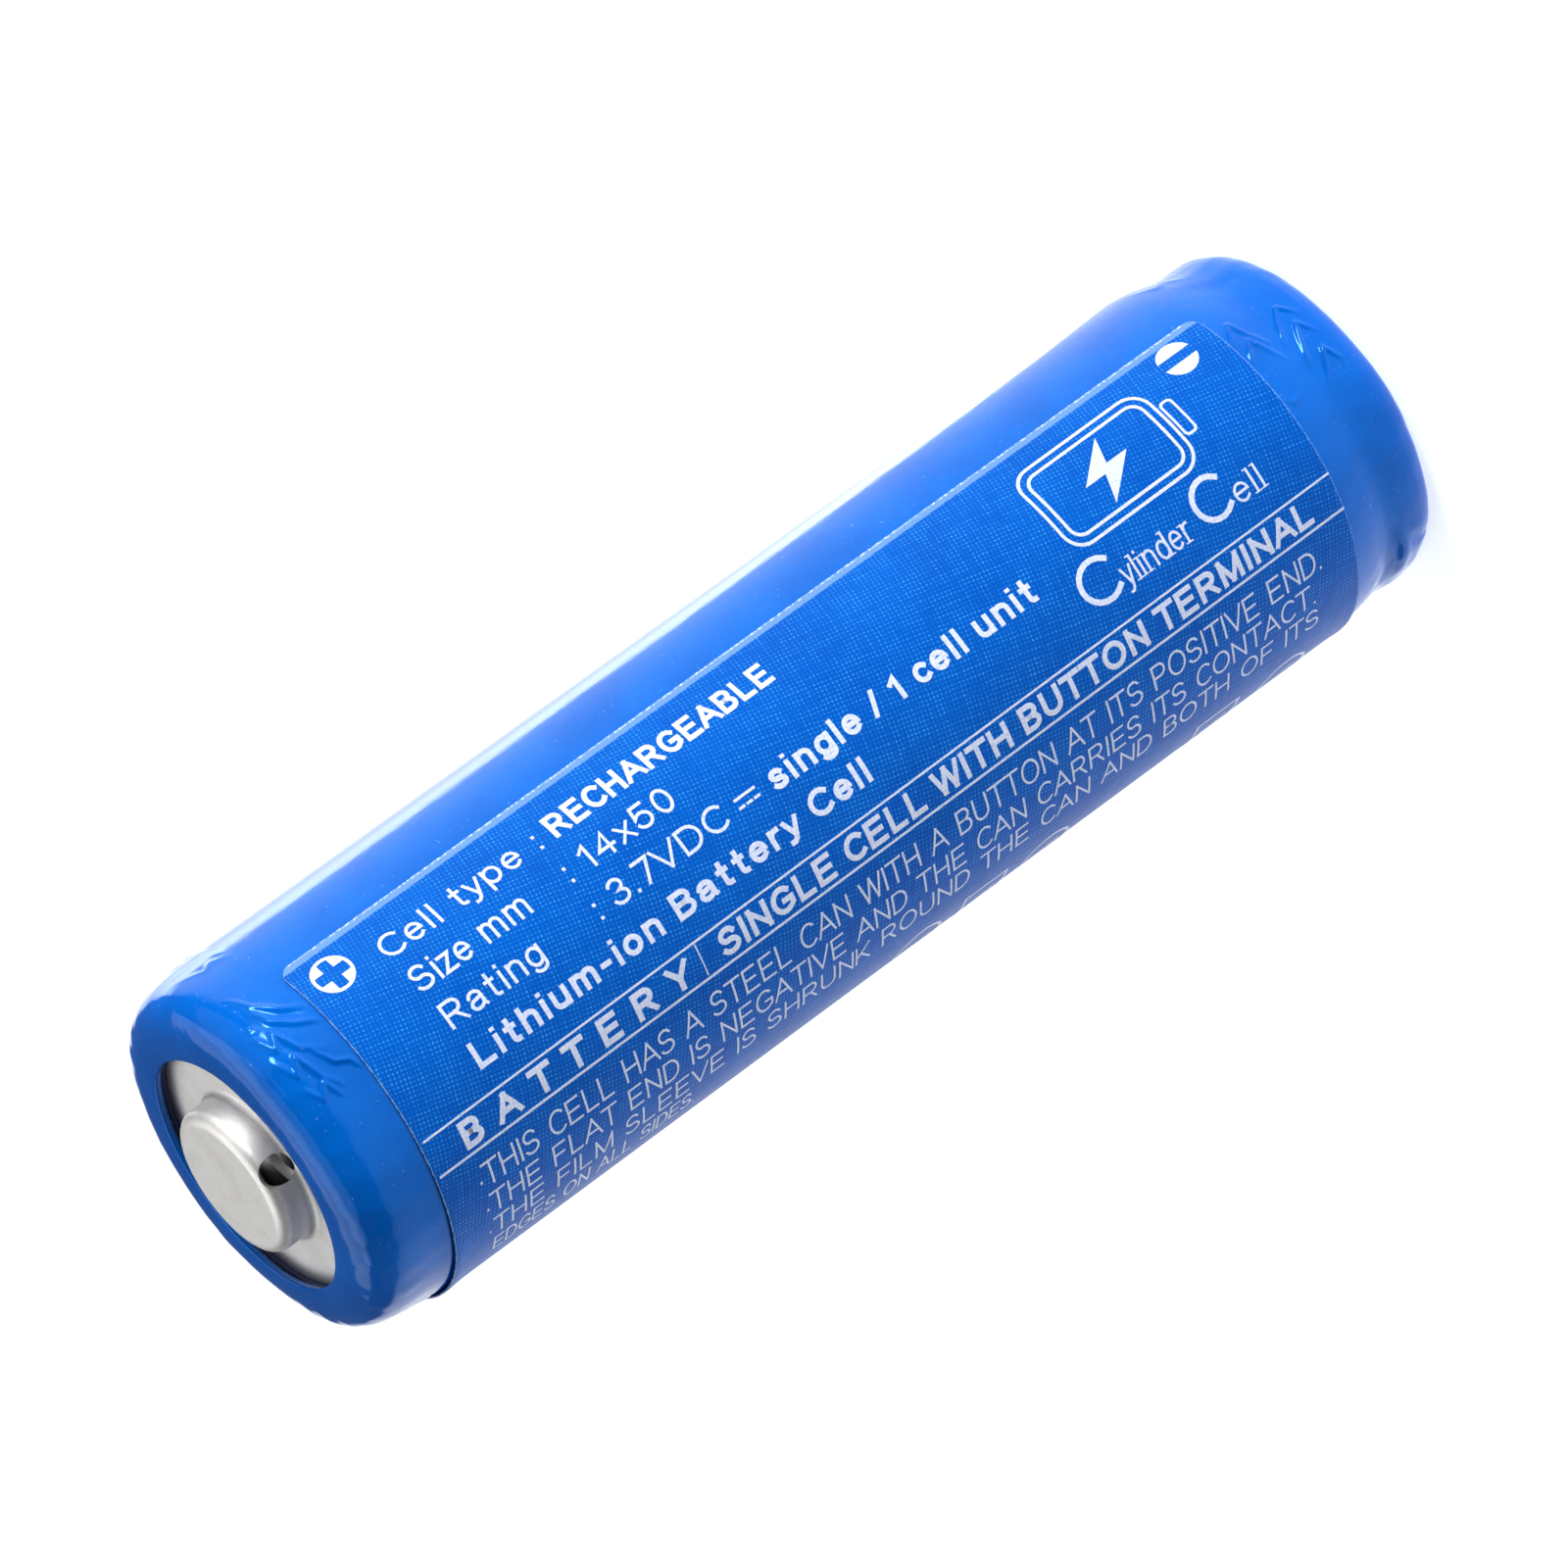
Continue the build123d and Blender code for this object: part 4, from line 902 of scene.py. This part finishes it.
def back_marks(ink):
    """Generic marks on the label's far side: a row of plain shapes, a ruled table and stripes."""
    for s, kind in ((24.6, 0), (27.6, 4), (30.6, 0), (38.6, 4), (41.9, 0)):
        if kind:
            ink.ring(circle(s, 10.55, 1.45, 4, math.pi / 4), circle(s, 10.55, 1.27, 4, math.pi / 4))
        else:
            ink.ring(circle(s, 10.55, 1.12), circle(s, 10.55, 0.98))
        ink.line((s - 0.55, 10.85), (s + 0.55, 10.25), 0.12)
    for v in (12.6, 14.6, 16.6, 18.6, 20.6):
        ink.line((5.0, v), (31.0, v), 0.06)
    for s in (5.0, 14.0, 22.5, 31.0):
        ink.line((s, 12.6), (s, 20.6), 0.06)
    rows = (
        ("NOMINAL", "3.7 V", "DC"), ("LENGTH", "50 mm", "AXIAL"), ("WIDTH", "14 mm", "ROUND"),
        ("SHAPE", "ROUND", "SINGLE"),
    )
    for k, row in enumerate(rows):
        for s, text in zip((5.6, 14.6, 23.1), row):
            ink.words(text, s, 14.1 + 2.0 * k, 0.95)
    rng = np.random.default_rng(12)
    s = 33.2
    while s < 43.4:
        wide = rng.choice((0.12, 0.2, 0.32))
        ink.polygon([(s, 13.0), (s + wide, 13.0), (s + wide, 19.4), (s, 19.4)])
        s += wide + rng.choice((0.16, 0.26, 0.36))
    ink.line((5.0, 23.2), (43.6, 23.2), 0.08)
    ink.line((5.2, 25.2), (6.8, 25.2), 0.34)
    ink.line((6.0, 24.4), (6.0, 26.0), 0.34)
    ink.line((8.4, 25.2), (40.2, 25.2), 0.10)
    ink.line((41.6, 25.2), (43.2, 25.2), 0.34)
    ink.words("RECHARGEABLE LITHIUM-ION CELL WITH A SHRUNK FILM SLEEVE", 5.0, 28.4, 0.95, THIN, s1=43.4)
    ink.words("BUTTON END POSITIVE, FLAT END NEGATIVE", 5.0, 30.0, 0.95, THIN, s1=32.0)


def make_print():
    front, back = Print(), Print()
    polarity_marks(front)
    badge(front)
    front_words(front)
    back_marks(back)
    return front.finish("label_print"), back.finish("label_print_back")


# ---------------------------------------------------------------- light and floor


def area_light(name, place, aim, size, power, colour=(1, 1, 1)):
    light = bpy.data.lights.new(name, "AREA")
    light.shape, light.size, light.size_y = "RECTANGLE", size[0], size[1]
    light.energy, light.color = power, colour
    lamp = bpy.data.objects.new(name, light)
    bpy.context.scene.collection.objects.link(lamp)
    lamp.location = place
    lamp.rotation_euler = (Vector(aim) - Vector(place)).to_track_quat("-Z", "Y").to_euler()
    lamp.visible_camera = False
    return lamp


def make_studio():
    mesh = bpy.data.meshes.new("floor")
    reach = 4.0
    corners = [(-reach, -reach, 0), (reach, -reach, 0), (reach, reach, 0), (-reach, reach, 0)]
    mesh.from_pydata(corners, [], [(0, 1, 2, 3)])
    floor = bpy.data.objects.new("floor", mesh)
    bpy.context.scene.collection.objects.link(floor)
    floor.location.z = -0.00002
    material, tree, shader = new_material("floor")
    # The floor glows by emission, which is painted light: a little everywhere and more under the cell, where it
    # washes out the cell's shadow, and brightly in a sector behind it, which the film reflects as a pale band along
    # its edge.
    place = tree.nodes.new("ShaderNodeTexCoord").outputs["Object"]
    parts = node(tree, "ShaderNodeSeparateXYZ", {0: place})
    azimuth = math_node(tree, "ARCTAN2", parts.outputs[1], parts.outputs[0])
    glow = ramp(tree, azimuth, math.radians(41), math.radians(44.5))
    for first, last, strong, weak in ((45, 64, 3.0, 0.45), (70, 112, 1.0, 0.0)):
        fade = ramp(tree, azimuth, math.radians(first), math.radians(last), strong, weak)
        glow = math_node(tree, "MULTIPLY", glow, fade)
    away = node(tree, "ShaderNodeVectorMath", {0: place}, operation="LENGTH").outputs[1]
    glow = math_node(tree, "ADD", glow, ramp(tree, away, 0.012, 0.040, 0.76, 0.56))
    set_inputs(tree, shader, Base_Color=(0.90, 0.90, 0.90), Roughness=0.9, Emission_Strength=glow)
    shader.inputs["Emission Color"].default_value = (0.97, 0.985, 1.0, 1)
    shader.inputs["Specular IOR Level"].default_value = 0.1
    mesh.materials.append(material)
    world = bpy.data.worlds.new("studio")
    world.use_nodes = True
    world.node_tree.nodes["Background"].inputs[0].default_value = (0.93, 0.96, 1.0, 1)
    world.node_tree.nodes["Background"].inputs[1].default_value = 0.11
    bpy.context.scene.world = world
    centre = (0, 0, 0.025)
    area_light("key", (0.46, -0.10, 0.42), centre, (0.70, 0.70), 0.95)
    area_light("glint", (0.40, -0.293, 0.087), centre, (0.12, 0.15), 2.1)
    area_light("side", (-0.50, 0.10, 0.20), centre, (0.40, 0.50), 0.08)
    area_light("rear", (0.05, 0.40, 0.54), (0, 0.05, 0.02), (0.8, 0.40), 0.9)
    area_light("overhead", (0.0, 0.20, 0.70), (0, 0.08, 0), (0.9, 0.6), 1.5)
    view = bpy.context.scene.view_settings
    view.view_transform, view.look, view.exposure = "Standard", "None", 0.0


# ---------------------------------------------------------------- the object

MATERIALS = {
    "sleeve_film": sleeve_film(),
    "label_film": label_film(),
    "print_ink": print_ink(),
    "cap_nickel": metal(
        "cap_nickel", (0.93, 0.92, 0.90), 0.52, (1, 1, 1), 5.0,
        # The button's inside is painted near black as shade.
        shaded_hollow=(BUTTON_R - BUTTON_SHEET, cap_high.z - BUTTON_SHEET),
    ),
    "can_nickel": metal("can_nickel", (0.66, 0.64, 0.60), 0.30, (1, 1, 0.15), 4.0),
    "nickel_strip": metal("nickel_strip", (0.74, 0.72, 0.68), 0.32, (3, 0.3, 0.3), 3.0),
    "bare_aluminium": metal("bare_aluminium", (0.86, 0.86, 0.87), 0.36, (2, 2, 0.4), 4.0, (0.85, 0.85, 0.86)),
    "washer_film": plastic("washer_film", (0.002, 0.020, 0.18), 0.45, (1, 1, 1), 3.0),
    "gasket_plastic": plastic("gasket_plastic", (0.003, 0.012, 0.10), 0.55, (1, 1, 1), 3.0),
    "ptc_polymer": plastic("ptc_polymer", (0.03, 0.03, 0.03), 0.6, (1, 1, 1), 6.0, 0.006),
    "spacer_plastic": plastic("spacer_plastic", (0.72, 0.72, 0.66), 0.45),
    "graphite_coating": plastic("graphite_coating", (0.035, 0.035, 0.04), 0.55, (1, 1, 1), 8.0, 0.006, 0.4),
    "oxide_coating": plastic("oxide_coating", (0.02, 0.018, 0.018), 0.75, (1, 1, 1), 9.0, 0.008, 0.4),
    "separator_film": plastic("separator_film", (0.86, 0.86, 0.83), 0.4, (1, 1, 6), 2.0, 0.002, 0.08),
    "tape_film": plastic("tape_film", (0.03, 0.16, 0.09), 0.25, (1, 1, 0.2), 2.0, 0.003),
    "polyimide_film": plastic("polyimide_film", (0.55, 0.24, 0.03), 0.2, (1, 1, 0.3), 2.0, 0.002),
    "insulator_film": plastic("insulator_film", (0.62, 0.66, 0.58), 0.5, (1, 1, 1), 4.0, 0.004),
}

for subpart in frame["record"]["subparts"]:
    shown = frame["nodes"][subpart["node"]]
    shown.data.materials.clear()
    shown.data.materials.append(MATERIALS[subpart["material_slot"]])
    shown.data.polygons.foreach_set("material_index", [0] * len(shown.data.polygons))

make_camera()
make_studio()

sleeve = make_sleeve()
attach(sleeve, "root")
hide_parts("shrink_sleeve")

label = make_label()
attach(label, "root")
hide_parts("printed_label")

for printed in make_print():
    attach(printed, "root")
